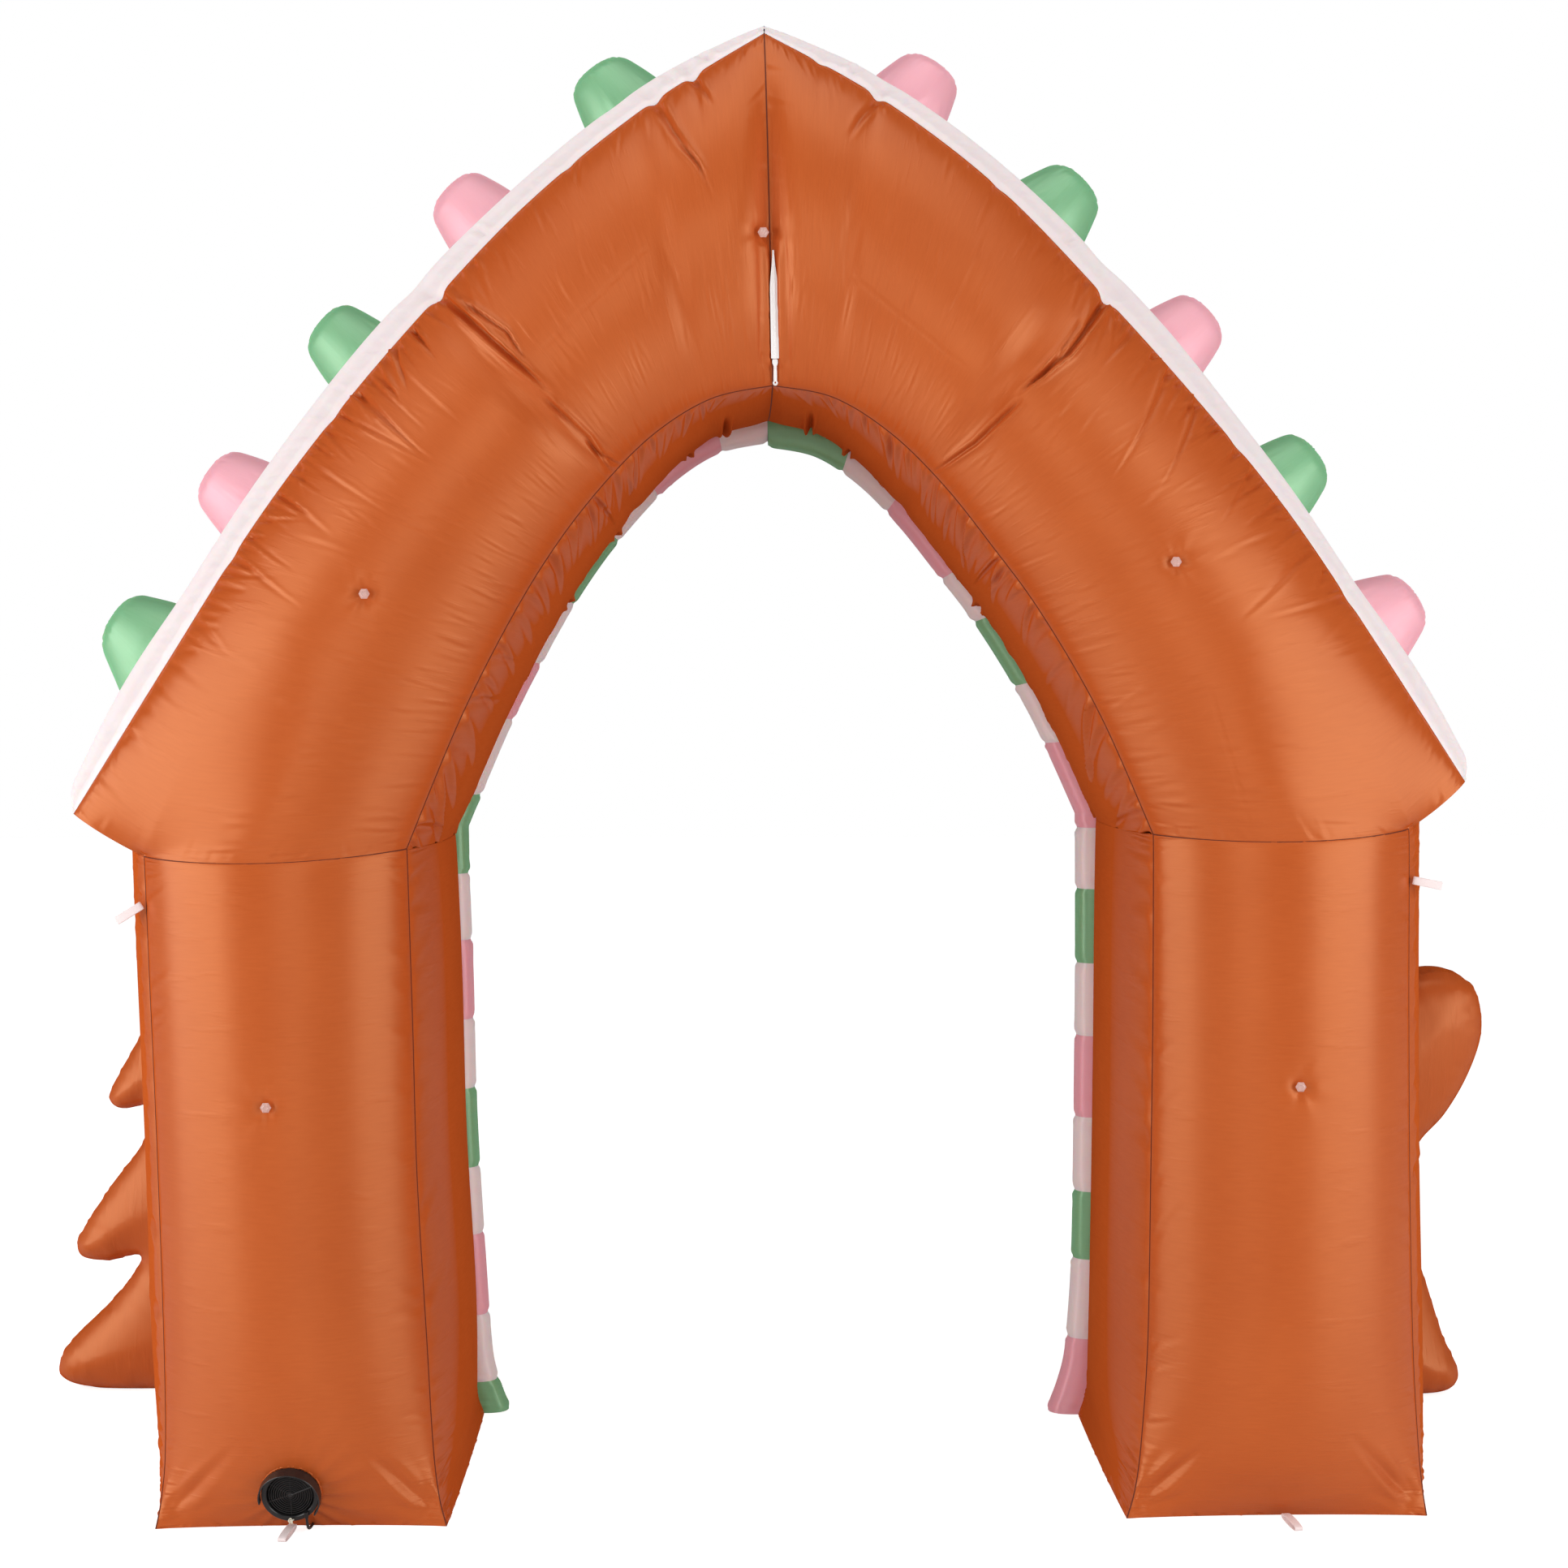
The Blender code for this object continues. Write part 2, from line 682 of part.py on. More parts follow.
def leg_ring(side, along):
    """One closed section of a leg."""
    row = leg_row(side, along)
    top_weight = leg_top_weight(along)
    width = abs(row.outer_x - row.inner_x)
    seat = 1.0 - TRIM_SEAT / mix(width, side.leg_width, top_weight)
    samples = [mix(0.0, seat, k / ACROSS_STEPS) for k in range(ACROSS_STEPS + 1)]
    samples += [mix(seat, 1.0, 0.5), 1.0]
    rear, front = [], []
    for place in samples:
        x = mix(row.outer_x, row.inner_x, place)
        z = leg_line(side, row, place, top_weight)
        rear.append(Vector((x, row.rear_y - REAR_BULGE * row.rear_full * crown(place), z)))
        swell = FRONT_BULGE * max(row.rear_full, 0.0) * crown(place / seat) if place < seat else 0.0
        front.append(Vector((x, row.front_y + swell, z)))
    reveal = []
    z = leg_line(side, row, 1.0, top_weight)
    bulge = REVEAL_BULGE * row.side_full * mix(1.0, 1.0 - LEG_SEAM_PINCH, top_weight)
    for k in range(1, REVEAL_STEPS):
        deep = k / REVEAL_STEPS
        x = row.inner_x - side.sign * bulge * crown(deep)
        reveal.append(Vector((x, mix(row.rear_y, row.front_y, deep), z)))
    outer = []
    slope = eave_slope(side)
    for k in range(1, SIDE_STEPS):
        deep = 1.0 - k / SIDE_STEPS
        swell = SIDE_BULGE * row.side_full * crown(deep, SIDE_POWER)
        x = row.outer_x + side.sign * swell
        lift = leg_line(side, row, 0.0, top_weight) + slope * swell * top_weight
        outer.append(Vector((x, mix(row.rear_y, row.front_y, deep), lift)))
    return rear + reveal + front[::-1] + outer, len(samples)


def eave_slope(side):
    """Rise of the eave's underside for each metre away from the notch."""
    last = side.arch[-1]
    return (last.outer_z - side.notch.z) / abs(last.outer_x - side.notch.x)


def build_leg(side):
    """Brown leg chamber that stands flat on its sewn rectangular base."""
    bm = bmesh.new()
    sections = [leg_ring(side, k / LEG_STEPS) for k in range(LEG_STEPS + 1)]
    rings = loft(bm, [ring for ring, _ in sections])
    count = sections[0][1]
    cap_chamber(bm, rings[0], count)
    cap_chamber(bm, rings[-1], count)
    return add_object("leg_" + side.name, bm, "brown")


def roof_frame(side, along):
    """Point on the roof seam, its outward direction and its downhill direction."""
    outer, _, _ = arch_edges(side, along)
    ahead = row_at(side.arch, min(along + SLOPE_STEP, 1.0))
    behind = row_at(side.arch, max(along - SLOPE_STEP, 0.0))
    downhill = Vector((ahead.outer_x - behind.outer_x, 0.0, ahead.outer_z - behind.outer_z))
    downhill.normalize()
    outward = Vector((-side.sign * downhill.z, 0.0, side.sign * downhill.x))
    outward = Vector((0.0, 0.0, 1.0)).lerp(outward, smooth(along / PEAK_UPRIGHT_END)).normalized()
    return outer, outward, downhill


def band_bulge(side, along):
    """Crown of the pale roof band, a little drawn in at the creases."""
    full = row_at(side.band, along).crown
    for crease in side.creases:
        near = math.exp(-((along - crease.along) / crease.width) ** 2)
        full *= 1.0 - BAND_CREASE_SHARE * crease.depth * near
    return full


def band_point(side, along, deep):
    """Point of the pale band, deep from 0 at the rear seam to 1 at the front."""
    outer, outward, _ = roof_frame(side, along)
    height = GAP + band_bulge(side, along) * crown(deep, BAND_POWER)
    return outer + outward * height + Vector((0.0, mix(REAR_Y, FRONT_Y, deep), 0.0))


def build_roof_band(side):
    """Pale band along the roof slope, over the brown chamber."""
    bm = bmesh.new()
    rings = []
    for along in arch_stations(side):
        rings.append([band_point(side, along, k / BAND_STEPS) for k in range(BAND_STEPS + 1)])
    close_rings(bm, loft(bm, rings))
    return add_object("roof_band_" + side.name, bm, "pale")


def trim_ring(corner, away, front_y, flare):
    """One section of the candy border at the opening's front corner."""
    ring = []
    for distance, height in TRIM_SECTION:
        reach = distance * flare if distance < 0.0 else distance
        ring.append(corner + away * reach + Vector((0.0, front_y + GAP + height, 0.0)))
    return ring


def build_trim(side):
    """Candy border from the peak of the opening down to the floor."""
    reach = TRIM_REACH[side.name]
    rings = []
    for along in arch_stations(side):
        outer, inner, _ = arch_edges(side, along)
        away = -reveal_direction(side, outer, inner, along)
        rings.append(trim_ring(inner, away, FRONT_Y, reach))
    level = Vector((side.sign, 0.0, 0.0))
    for k in range(LEG_STEPS - 1, -1, -1):
        row = leg_row(side, k / LEG_STEPS)
        corner = Vector((row.inner_x, 0.0, row.height))
        low = 1.0 - smooth(row.height / TRIM_FOOT_HEIGHT)
        flare = reach * mix(1.0, TRIM_FOOT_FLARE, low)
        rings.append(trim_ring(corner, level, row.front_y, flare))
    bm = bmesh.new()
    close_rings(bm, loft(bm, rings))
    return add_object("trim_" + side.name, bm, "pink")


def roof_distances(side, count=240):
    """Distances from the peak along the roof seam, at even places along the arch."""
    points = [arch_edges(side, k / count)[0] for k in range(count + 1)]
    distances = [0.0]
    for previous, point in zip(points, points[1:]):
        distances.append(distances[-1] + (point - previous).length)
    return distances


def along_at_distance(distances, distance):
    """Place along the arch at a distance from the peak."""
    count = len(distances) - 1
    k = next(k for k in range(1, count + 1) if distances[k] >= distance)
    share = (distance - distances[k - 1]) / (distances[k] - distances[k - 1])
    return (k - 1 + share) / count


def build_gumdrop(side, row, index):
    """Blown-up gumdrop whose foot is draped over the roof band."""
    distances = roof_distances(side)
    along = along_at_distance(distances, row.distance)
    length = distances[-1]
    centre = band_point(side, along, 0.5)
    _, outward, downhill = roof_frame(side, along)
    turn = Matrix.Rotation(math.radians(row.lean), 4, "Y")
    axis = turn @ outward

    def foot(a, b):
        deep = 0.5 + b / (FRONT_Y - REAR_Y)
        point = band_point(side, along + a / length, deep)
        return point + outward * GUMDROP_CLEARANCE

    def ring(radius, height, drape):
        points = []
        for k in range(GUMDROP_SIDES):
            angle = 2.0 * math.pi * k / GUMDROP_SIDES
            a = radius * math.cos(angle)
            b = radius * math.sin(angle)
            flat = centre + downhill * a + Vector((0.0, b, 0.0)) + axis * height
            points.append(flat.lerp(foot(a, b) + axis * height, drape))
        return points

    bm = bmesh.new()
    top = GUMDROP_PROFILE[-1][1]
    rings = [ring(GUMDROP_FOOT_RADIUS, 0.0, 1.0)]
    rings += [ring(radius, height, 1.0 - height / top) for radius, height in GUMDROP_PROFILE]
    grid = loft(bm, rings)
    below = bm.verts.new(foot(0.0, 0.0))
    above = bm.verts.new(centre + axis * (top + GUMDROP_TIP_RISE))
    for k in range(GUMDROP_SIDES):
        n = (k + 1) % GUMDROP_SIDES
        bm.faces.new((below, grid[0][n], grid[0][k]))
        bm.faces.new((above, grid[-1][k], grid[-1][n]))
    return add_object(f"gumdrop_{side.name}_{index}", bm, row.cloth)


def outline_curve(points, steps):
    """Closed smooth outline through a few chosen points."""
    count = len(points)
    curve = []
    for index in range(count):
        before, start, end, after = (points[(index + k) % count] for k in (-1, 0, 1, 2))
        curve += [curve_between(before, start, end, after, k / steps) for k in range(steps)]
    return curve


def edge_distance(point, outline):
    """Distance from a point to a closed outline."""
    nearest = 10.0
    for a, b in zip(outline, outline[1:] + outline[:1]):
        along = b - a
        share = (point - a).dot(along) / max(along.length_squared, 1e-12)
        nearest = min(nearest, (a + along * min(max(share, 0.0), 1.0) - point).length)
    return nearest


def is_inside(point, outline):
    """Even-odd test of a point against a closed outline."""
    inside = False
    for a, b in zip(outline, outline[1:] + outline[:1]):
        if (a.y > point.y) != (b.y > point.y):
            cross = a.x + (point.y - a.y) * (b.x - a.x) / (b.y - a.y)
            if point.x < cross:
                inside = not inside
    return inside


def figure_height(distance):
    """Half thickness of a blown-up figure at a distance from its edge."""
    share = min(distance / FIGURE_ROUND, 1.0)
    return FIGURE_GUSSET + FIGURE_CROWN * math.sqrt(1.0 - (1.0 - share) ** 2)


def build_figure(name, outline, foot_back=0.0):
    """Blown-up figure: a rear and a front face with a gusset between."""
    inner = []
    for k, point in enumerate(outline):
        run = outline[(k + 1) % len(outline)] - outline[k - 1]
        inward = Vector((-run.y, run.x)).normalized()
        near = point + inward * FIGURE_RIM
        if is_inside(near, outline) and edge_distance(near, outline) > FIGURE_RIM_CLEAR:
            inner.append(near)
    low_x = min(point.x for point in outline)
    low_z = min(point.y for point in outline)
    columns = int((max(point.x for point in outline) - low_x) / FIGURE_GRID) + 2
    rows = int((max(point.y for point in outline) - low_z) / FIGURE_GRID) + 2
    for i in range(columns):
        for j in range(rows):
            near = Vector((low_x + (i + 0.5 * (j % 2)) * FIGURE_GRID, low_z + j * FIGURE_GRID))
            if is_inside(near, outline) and edge_distance(near, outline) > FIGURE_GRID_CLEAR:
                inner.append(near)
    count = len(outline)
    edges = [(k, (k + 1) % count) for k in range(count)]
    cdt = delaunay_2d_cdt(outline + inner, edges, [list(range(count))], 1, 1e-6)
    flat, faces = cdt[0], cdt[2]
    bm = bmesh.new()
    sheets = []
    for facing in (-1.0, 1.0):
        sheet = []
        for point in flat:
            deep = facing * figure_height(edge_distance(point, outline))
            back = foot_back * (1.0 - smooth(point.y / FIGURE_FOOT_HEIGHT))
            sheet.append(bm.verts.new((point.x, FIGURE_Y - back + deep, point.y)))
        for face in faces:
            bm.faces.new([sheet[k] for k in face])
        sheets.append(sheet)
    for k, n in edges:
        bm.faces.new((sheets[0][k], sheets[0][n], sheets[1][n], sheets[1][k]))
    return add_object(name, bm, "brown")


def build_tree():
    """Tree figure of three tiers in front of the left leg."""
    right = [Vector((TREE_CENTRE_X + row.half_width, row.height)) for row in TREE_HALF]
    left = [Vector((TREE_CENTRE_X - row.half_width, row.height)) for row in TREE_HALF]
    top = Vector((TREE_CENTRE_X, TREE_TOP))
    curve = outline_curve(right + [top] + left[::-1], OUTLINE_STEPS)
    flat = [Vector((point.x, max(point.y, 0.0))) for point in curve]
    return build_figure("tree_figure", flat)


def build_man():
    """Gingerbread figure with raised arms, its feet set back towards the right leg."""
    right = [Vector((MAN_CENTRE_X + row.half_width, row.height)) for row in MAN_HALF]
    left = [Vector((MAN_CENTRE_X - row.half_width, row.height)) for row in MAN_HALF]
    top = [Vector((MAN_CENTRE_X, MAN_TOP))]
    crotch = [Vector((MAN_CENTRE_X - MAN_CROTCH_HALF, MAN_CROTCH_SIDE_HEIGHT)),
              Vector((MAN_CENTRE_X, MAN_CROTCH_HEIGHT)),
              Vector((MAN_CENTRE_X + MAN_CROTCH_HALF, MAN_CROTCH_SIDE_HEIGHT))]
    curve = outline_curve(right + top + left[::-1] + crotch, OUTLINE_STEPS)
    flat = [Vector((point.x, max(point.y, 0.0))) for point in curve]
    return build_figure("gingerbread_figure", flat, MAN_FOOT_BACK)


def rear_surface(x, z, along_count=100, across_count=40):
    """Depth of the rear cloth at a place, found on the arch or on a leg."""
    side = LEFT if x < seam_x(z) else RIGHT
    shares = [k / along_count for k in range(along_count + 1)]
    if z < side.leg[-1].height:
        row = min((leg_row(side, share) for share in shares), key=lambda row: abs(row.height - z))
        place = (x - row.outer_x) / (row.inner_x - row.outer_x)
        return row.rear_y - REAR_BULGE * row.rear_full * crown(place)
    target = Vector((x, 0.0, z))
    places = [(along, k / across_count) for along in shares for k in range(across_count + 1)]
    best = min(places, key=lambda place: (arch_point(side, *place) - target).length)
    return REAR_Y - rear_depth(side, *best)


def turned(bm, profile, sides, frame):
    """Turn a closed profile of radius and height around a frame's Z axis."""
    rings = []
    for radius, height in profile:
        ring = []
        for k in range(sides):
            angle = 2.0 * math.pi * k / sides
            ring.append(frame @ Vector((radius * math.cos(angle), radius * math.sin(angle), height)))
        rings.append(ring)
    return loft(bm, rings)


def facing_frame(place, outward):
    """Frame whose Z axis points outwards, with its X axis kept level."""
    z = outward.normalized()
    x = Vector((1.0, 0.0, 0.0))
    x = (x - z * x.dot(z)).normalized()
    y = z.cross(x)
    frame = Matrix.Identity(4)
    for k, axis in enumerate((x, y, z)):
        frame[0][k], frame[1][k], frame[2][k] = axis
    frame.translation = place
    return frame


def build_button(name, x, z):
    """Clear button drawn against the rear cloth."""
    crest = min(rear_surface(x + step, z) for step in (-BUTTON_RADIUS, 0.0, BUTTON_RADIUS))
    frame = facing_frame(Vector((x, crest - BUTTON_CLEARANCE, z)), Vector((0.0, -1.0, 0.0)))
    bm = bmesh.new()
    close_rings(bm, turned(bm, BUTTON_PROFILE, BUTTON_SIDES, frame))
    return add_object(name, bm, "clear_plastic")


def seam_x(z):
    """Place of the centre seam at a height."""
    first = LEFT_ARCH[0]
    share = (z - first.inner_z) / (first.outer_z - first.inner_z)
    return mix(first.inner_x, first.outer_x, share)


def zip_section(z, half, lift, thickness):
    """One section of the zip, its back a little above the valley of the centre seam."""
    first = LEFT_ARCH[0]
    across = (first.outer_z - z) / (first.outer_z - first.inner_z)
    x = seam_x(z) + ZIP_SHIFT
    y = REAR_Y - rear_depth(LEFT, 0.0, across) - lift
    return [Vector((x - half, y - thickness, z)), Vector((x + half, y - thickness, z)),
            Vector((x + half, y, z)), Vector((x - half, y, z))]


def build_zip_tape():
    """White zip tape in the valley of the centre seam."""
    rings = []
    for k in range(ZIP_STEPS + 1):
        share = k / ZIP_STEPS
        taper = smooth((share - ZIP_TAPER_START) / (1.0 - ZIP_TAPER_START))
        half = 0.5 * ZIP_WIDTH * mix(1.0, ZIP_TAPER, taper)
        z = mix(ZIP_BOTTOM_Z, ZIP_TOP_Z, share)
        rings.append(zip_section(z, half, ZIP_LIFT - ZIP_THICKNESS, ZIP_THICKNESS))
    bm = bmesh.new()
    close_rings(bm, loft(bm, rings))
    return add_object("zip_tape", bm, "white_plastic")


def build_zip_slider():
    """Slider with its pull tab, hanging at the lower end of the zip."""
    rings = [zip_section(ZIP_BOTTOM_Z - row.drop, row.half_width, SLIDER_LIFT, row.thickness)
             for row in SLIDER_SECTIONS]
    bm = bmesh.new()
    close_rings(bm, loft(bm, rings))
    return add_object("zip_slider", bm, "white_plastic")


def build_loop(row):
    """Webbing folded back on itself into a long narrow loop."""
    outward = Vector(row.direction).normalized()
    flat = Vector(row.width_axis).normalized()
    side_axis = outward.cross(flat)
    rings = []
    for k in range(LOOP_STEPS):
        angle = 2.0 * math.pi * k / LOOP_STEPS
        reach = 0.5 * row.length * (1.0 - math.cos(angle))
        open_share = abs(math.sin(angle)) ** LOOP_SQUARENESS
        half_gap = 0.5 * LOOP_GAP * math.copysign(open_share, math.sin(angle))
        tangent = Vector((0.5 * row.length * math.sin(angle), 0.5 * LOOP_GAP * math.cos(angle)))
        tangent.normalize()
        normal = Vector((tangent.y, -tangent.x))
        ring = []
        for across, thick in ((-0.5, -0.5), (0.5, -0.5), (0.5, 0.5), (-0.5, 0.5)):
            place = Vector(row.root) + flat * across * LOOP_WIDTH
            place += outward * (reach + normal.x * thick * LOOP_THICKNESS)
            place += side_axis * (half_gap + normal.y * thick * LOOP_THICKNESS)
            ring.append(place)
        rings.append(ring)
    bm = bmesh.new()
    loft(bm, rings + [rings[0]])
    bmesh.ops.remove_doubles(bm, verts=bm.verts[:], dist=WELD)
    return add_object(row.name, bm, "webbing")


def blower_frame():
    """Frame at the blower's face, its Z axis out of the leg."""
    outward = Vector((0.0, -math.cos(BLOWER_TILT), -math.sin(BLOWER_TILT)))
    return facing_frame(BLOWER_CENTRE, outward)


def build_blower_housing():
    """Round cup of the blower with an open front."""
    profile = [
        (BLOWER_RADIUS, -BLOWER_SUNK),
        (BLOWER_RADIUS, BLOWER_PROUD),
        (BLOWER_BORE, BLOWER_PROUD),
        (BLOWER_BORE, BLOWER_PROUD - BLOWER_FLOOR),
    ]
    bm = bmesh.new()
    close_rings(bm, turned(bm, profile, BLOWER_SIDES, blower_frame()))
    return add_object("blower_housing", bm, "black_plastic")


def build_blower_grille():
    """Ribbed round grille inside the cup."""
    top = BLOWER_PROUD - GRILLE_SUNK
    radius = BLOWER_BORE - GRILLE_CLEARANCE
    profile = [(radius, top - GRILLE_THICKNESS), (radius, top)]
    pitch = radius / (GRILLE_RIBS + 0.5)
    for k in range(GRILLE_RIBS):
        outer = radius - (k + RIB_START) * pitch
        profile += [(outer, top - GRILLE_GROOVE), (outer - RIB_WIDTH * pitch, top)]
    bm = bmesh.new()
    close_rings(bm, turned(bm, profile, GRILLE_SIDES, blower_frame()))
    return add_object("blower_grille", bm, "black_plastic")


def build_blower_hood():
    """Rain hood: a curved lip over the top and sides of the grille."""
    frame = blower_frame()
    foot = BLOWER_PROUD - HOOD_FOOT
    rings = []
    for k in range(HOOD_STEPS + 1):
        angle = mix(HOOD_START, HOOD_END, k / HOOD_STEPS)
        middle = math.sin(math.pi * k / HOOD_STEPS) ** HOOD_ROUNDNESS
        reach = BLOWER_PROUD + HOOD_REACH * mix(HOOD_END_SHARE, 1.0, middle)
        section = ((HOOD_RADIUS - HOOD_WALL, foot), (HOOD_RADIUS, foot),
                   (HOOD_RADIUS - HOOD_DRAFT, reach), (HOOD_RADIUS - HOOD_WALL, reach))
        rings.append([frame @ Vector((radius * math.cos(angle), radius * math.sin(angle), height))
                      for radius, height in section])
    bm = bmesh.new()
    close_rings(bm, loft(bm, rings))
    return add_object("blower_hood", bm, "black_plastic")


def build_blower_knot():
    """Knot of the drawstring that ties the cloth round the blower."""
    frame = blower_frame()
    bm = bmesh.new()
    place = frame @ Matrix.Translation(KNOT_PLACE)
    bmesh.ops.create_icosphere(bm, subdivisions=2, radius=1.0)
    bm.transform(place @ Matrix.Diagonal((*KNOT_SIZE, 1.0)))
    return add_object("blower_knot", bm, "string")


def build_strain_relief():
    """Short tapered sleeve where the lead leaves the blower."""
    start = Vector(CORD_ROUTE[0])
    axis = (start - Vector(CORD_ROUTE[1])).normalized()
    frame = facing_frame(start + axis * GAP, axis)
    bm = bmesh.new()
    close_rings(bm, turned(bm, RELIEF_PROFILE, RELIEF_SIDES, frame))
    return add_object("strain_relief", bm, "black_plastic")


def route_points(route, step):
    """Evenly spaced points on a smooth curve through a route."""
    fine = []
    padded = [route[0]] + list(route) + [route[-1]]
    knots = [Vector(point) for point in padded]
    for index in range(1, len(knots) - 2):
        nearby = knots[index - 1:index + 3]
        fine += [curve_between(*nearby, k / CURVE_STEPS) for k in range(CURVE_STEPS)]
    fine.append(knots[-1])
    total = sum((b - a).length for a, b in zip(fine, fine[1:]))
    count = max(2, round(total / step))
    points = [fine[0]]
    travelled = 0.0
    for a, b in zip(fine, fine[1:]):
        travelled += (b - a).length
        if travelled >= total * len(points) / count and len(points) < count:
            points.append(b)
    points.append(fine[-1])
    return points


def build_cord():
    """The lead as a round tube along its route."""
    curve = bpy.data.curves.new("blower_cord", "CURVE")
    curve.dimensions = "3D"
    curve.bevel_depth = CORD_RADIUS
    curve.bevel_resolution = 2
    curve.use_fill_caps = True
    points = route_points(CORD_ROUTE, CORD_POINT_STEP)
    spline = curve.splines.new("POLY")
    spline.points.add(len(points) - 1)
    for target, point in zip(spline.points, points):
        target.co = (*point, 1.0)
    curve.materials.append(make_material("black_plastic"))
    obj = bpy.data.objects.new("blower_cord", curve)
    bpy.context.collection.objects.link(obj)
    return obj


def build_cord_coil():
    """Outer shape of the rest of the lead, tied in a small coil."""
    frame = Matrix.Translation(COIL_CENTRE)
    half = 0.5 * COIL_SECTION
    bm = bmesh.new()
    rings = []
    for k in range(COIL_SECTION_SIDES):
        angle = 2.0 * math.pi * (k + 0.5) / COIL_SECTION_SIDES
        radius = COIL_MID_RADIUS + half * math.cos(angle)
        height = half * math.cos(math.pi / COIL_SECTION_SIDES) + half * math.sin(angle)
        rings.append((radius, height))
    turned(bm, rings + [rings[0]], COIL_SIDES, frame)
    bmesh.ops.remove_doubles(bm, verts=bm.verts[:], dist=WELD)
    return add_object("blower_cord_coil", bm, "black_plastic")


def build_plug():
    """Low-voltage connector of the lead, lying beside the coil."""
    reach = COIL_MID_RADIUS + 0.5 * COIL_SECTION + PLUG_START
    start = COIL_CENTRE + Vector((reach, 0.0, 0.0))
    rings = []
    for x, half in PLUG_SECTIONS:
        rings.append([start + Vector((x, -half, 0.0)), start + Vector((x, half, 0.0)),
                      start + Vector((x, half, 2 * half)), start + Vector((x, -half, 2 * half))])
    bm = bmesh.new()
    close_rings(bm, loft(bm, rings))
    return add_object("blower_plug", bm, "black_plastic")


def hide_cutter(cutter):
    """Mark an object as a cutter that is no part of the model."""
    cutter.hide_render = True
    cutter.display_type = "WIRE"


def cut(target, cutter):
    """Cut one closed shape out of another."""
    hide_cutter(cutter)
    modifier = target.modifiers.new(cutter.name, "BOOLEAN")
    modifier.operation = "DIFFERENCE"
    modifier.solver = "EXACT"
    modifier.object = cutter


def cut_blower_pocket(leg):
    """Round seat for the blower in the rear cloth."""
    radius = BLOWER_RADIUS + POCKET_CLEARANCE
    profile = [(radius, -BLOWER_SUNK - POCKET_CLEARANCE), (radius, POCKET_REACH)]
    bm = bmesh.new()
    close_rings(bm, turned(bm, profile, BLOWER_SIDES, blower_frame()))
    cut(leg, add_object("blower_pocket", bm, "black_plastic"))


def cut_cord_groove(leg):
    """Shallow channel that the soft base leaves over the lead."""
    points = route_points(GROOVE_ROUTE, GROOVE_STEP)
    start = points[0] - Vector((0.0, GROOVE_REAR_REACH, 0.0))
    end = points[-1] + Vector((0.0, GROOVE_FRONT_REACH, 0.0))
    half = 0.5 * GROOVE_WIDTH
    rings = []
    for point in [start] + points + [end]:
        left, right = point.x - half, point.x + half
        rings.append([Vector((left, point.y, -GROOVE_DEPTH)), Vector((right, point.y, -GROOVE_DEPTH)),
                      Vector((right, point.y, GROOVE_HEIGHT)), Vector((left, point.y, GROOVE_HEIGHT))])
    bm = bmesh.new()
    close_rings(bm, loft(bm, rings))
    cut(leg, add_object("cord_groove", bm, "black_plastic"))


def clear_scene():
    """Remove whatever the scene holds."""
    for obj in list(bpy.data.objects):
        bpy.data.objects.remove(obj, do_unlink=True)


def main():
    """Build every piece of the archway."""
    clear_scene()
    legs = {}
    for side in (LEFT, RIGHT):
        build_gable(side)
        build_roof_band(side)
        build_trim(side)
        legs[side.name] = build_leg(side)
        for index, row in enumerate(side.gumdrops, 1):
            build_gumdrop(side, row, index)
    build_tree()
    build_man()
    for name, x, z in BUTTONS:
        build_button(name, x, z)
    build_zip_tape()
    build_zip_slider()
    for row in LOOPS:
        build_loop(row)
    build_blower_housing()
    build_blower_grille()
    build_blower_hood()
    build_blower_knot()
    build_strain_relief()
    build_cord()
    build_cord_coil()
    build_plug()
    cut_blower_pocket(legs["left"])
    cut_cord_groove(legs["left"])


main()
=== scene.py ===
"""Looks of the inflated gingerbread-house archway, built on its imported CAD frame.

The rear of the arch faces -Y. Each panel of cloth is its own fine skin over the
CAD chamber, with the folds that its seams, buttons and blower draw into it.
"""

import logging
import math
from dataclasses import dataclass, field
from enum import Enum
from typing import Callable, Dict, List, Optional, Sequence, Tuple

import bmesh
import bpy
import numpy as np
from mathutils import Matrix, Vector
from mathutils.geometry import delaunay_2d_cdt

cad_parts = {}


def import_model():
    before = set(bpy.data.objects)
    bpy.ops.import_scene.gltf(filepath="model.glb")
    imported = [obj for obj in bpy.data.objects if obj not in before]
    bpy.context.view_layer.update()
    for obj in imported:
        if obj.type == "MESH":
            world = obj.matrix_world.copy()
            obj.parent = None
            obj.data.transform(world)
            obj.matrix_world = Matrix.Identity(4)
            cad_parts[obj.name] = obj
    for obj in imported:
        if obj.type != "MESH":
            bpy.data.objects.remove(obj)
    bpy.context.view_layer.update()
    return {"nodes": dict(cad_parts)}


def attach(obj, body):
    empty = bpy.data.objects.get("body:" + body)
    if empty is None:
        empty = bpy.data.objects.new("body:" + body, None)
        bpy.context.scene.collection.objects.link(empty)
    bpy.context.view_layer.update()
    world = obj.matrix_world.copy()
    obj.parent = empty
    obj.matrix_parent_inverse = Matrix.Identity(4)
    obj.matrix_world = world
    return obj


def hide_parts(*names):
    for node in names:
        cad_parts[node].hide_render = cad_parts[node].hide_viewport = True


log = logging.getLogger("archway")
Array = np.ndarray
Piece = bpy.types.Object
Pieces = List[bpy.types.Object]
Mesh = bmesh.types.BMesh
Nodes = bpy.types.NodeTree

REAR_Y = -0.33
FRONT_Y = 0.15
GAP = 0.0003
LOWER_START, LOWER_SPAN = 0.80, 0.20
EAVE_START, EAVE_SPAN, EAVE_POWER = 0.84, 0.16, 2.2
LEG_TOP_START, LEG_TOP_SPAN = 0.72, 0.28


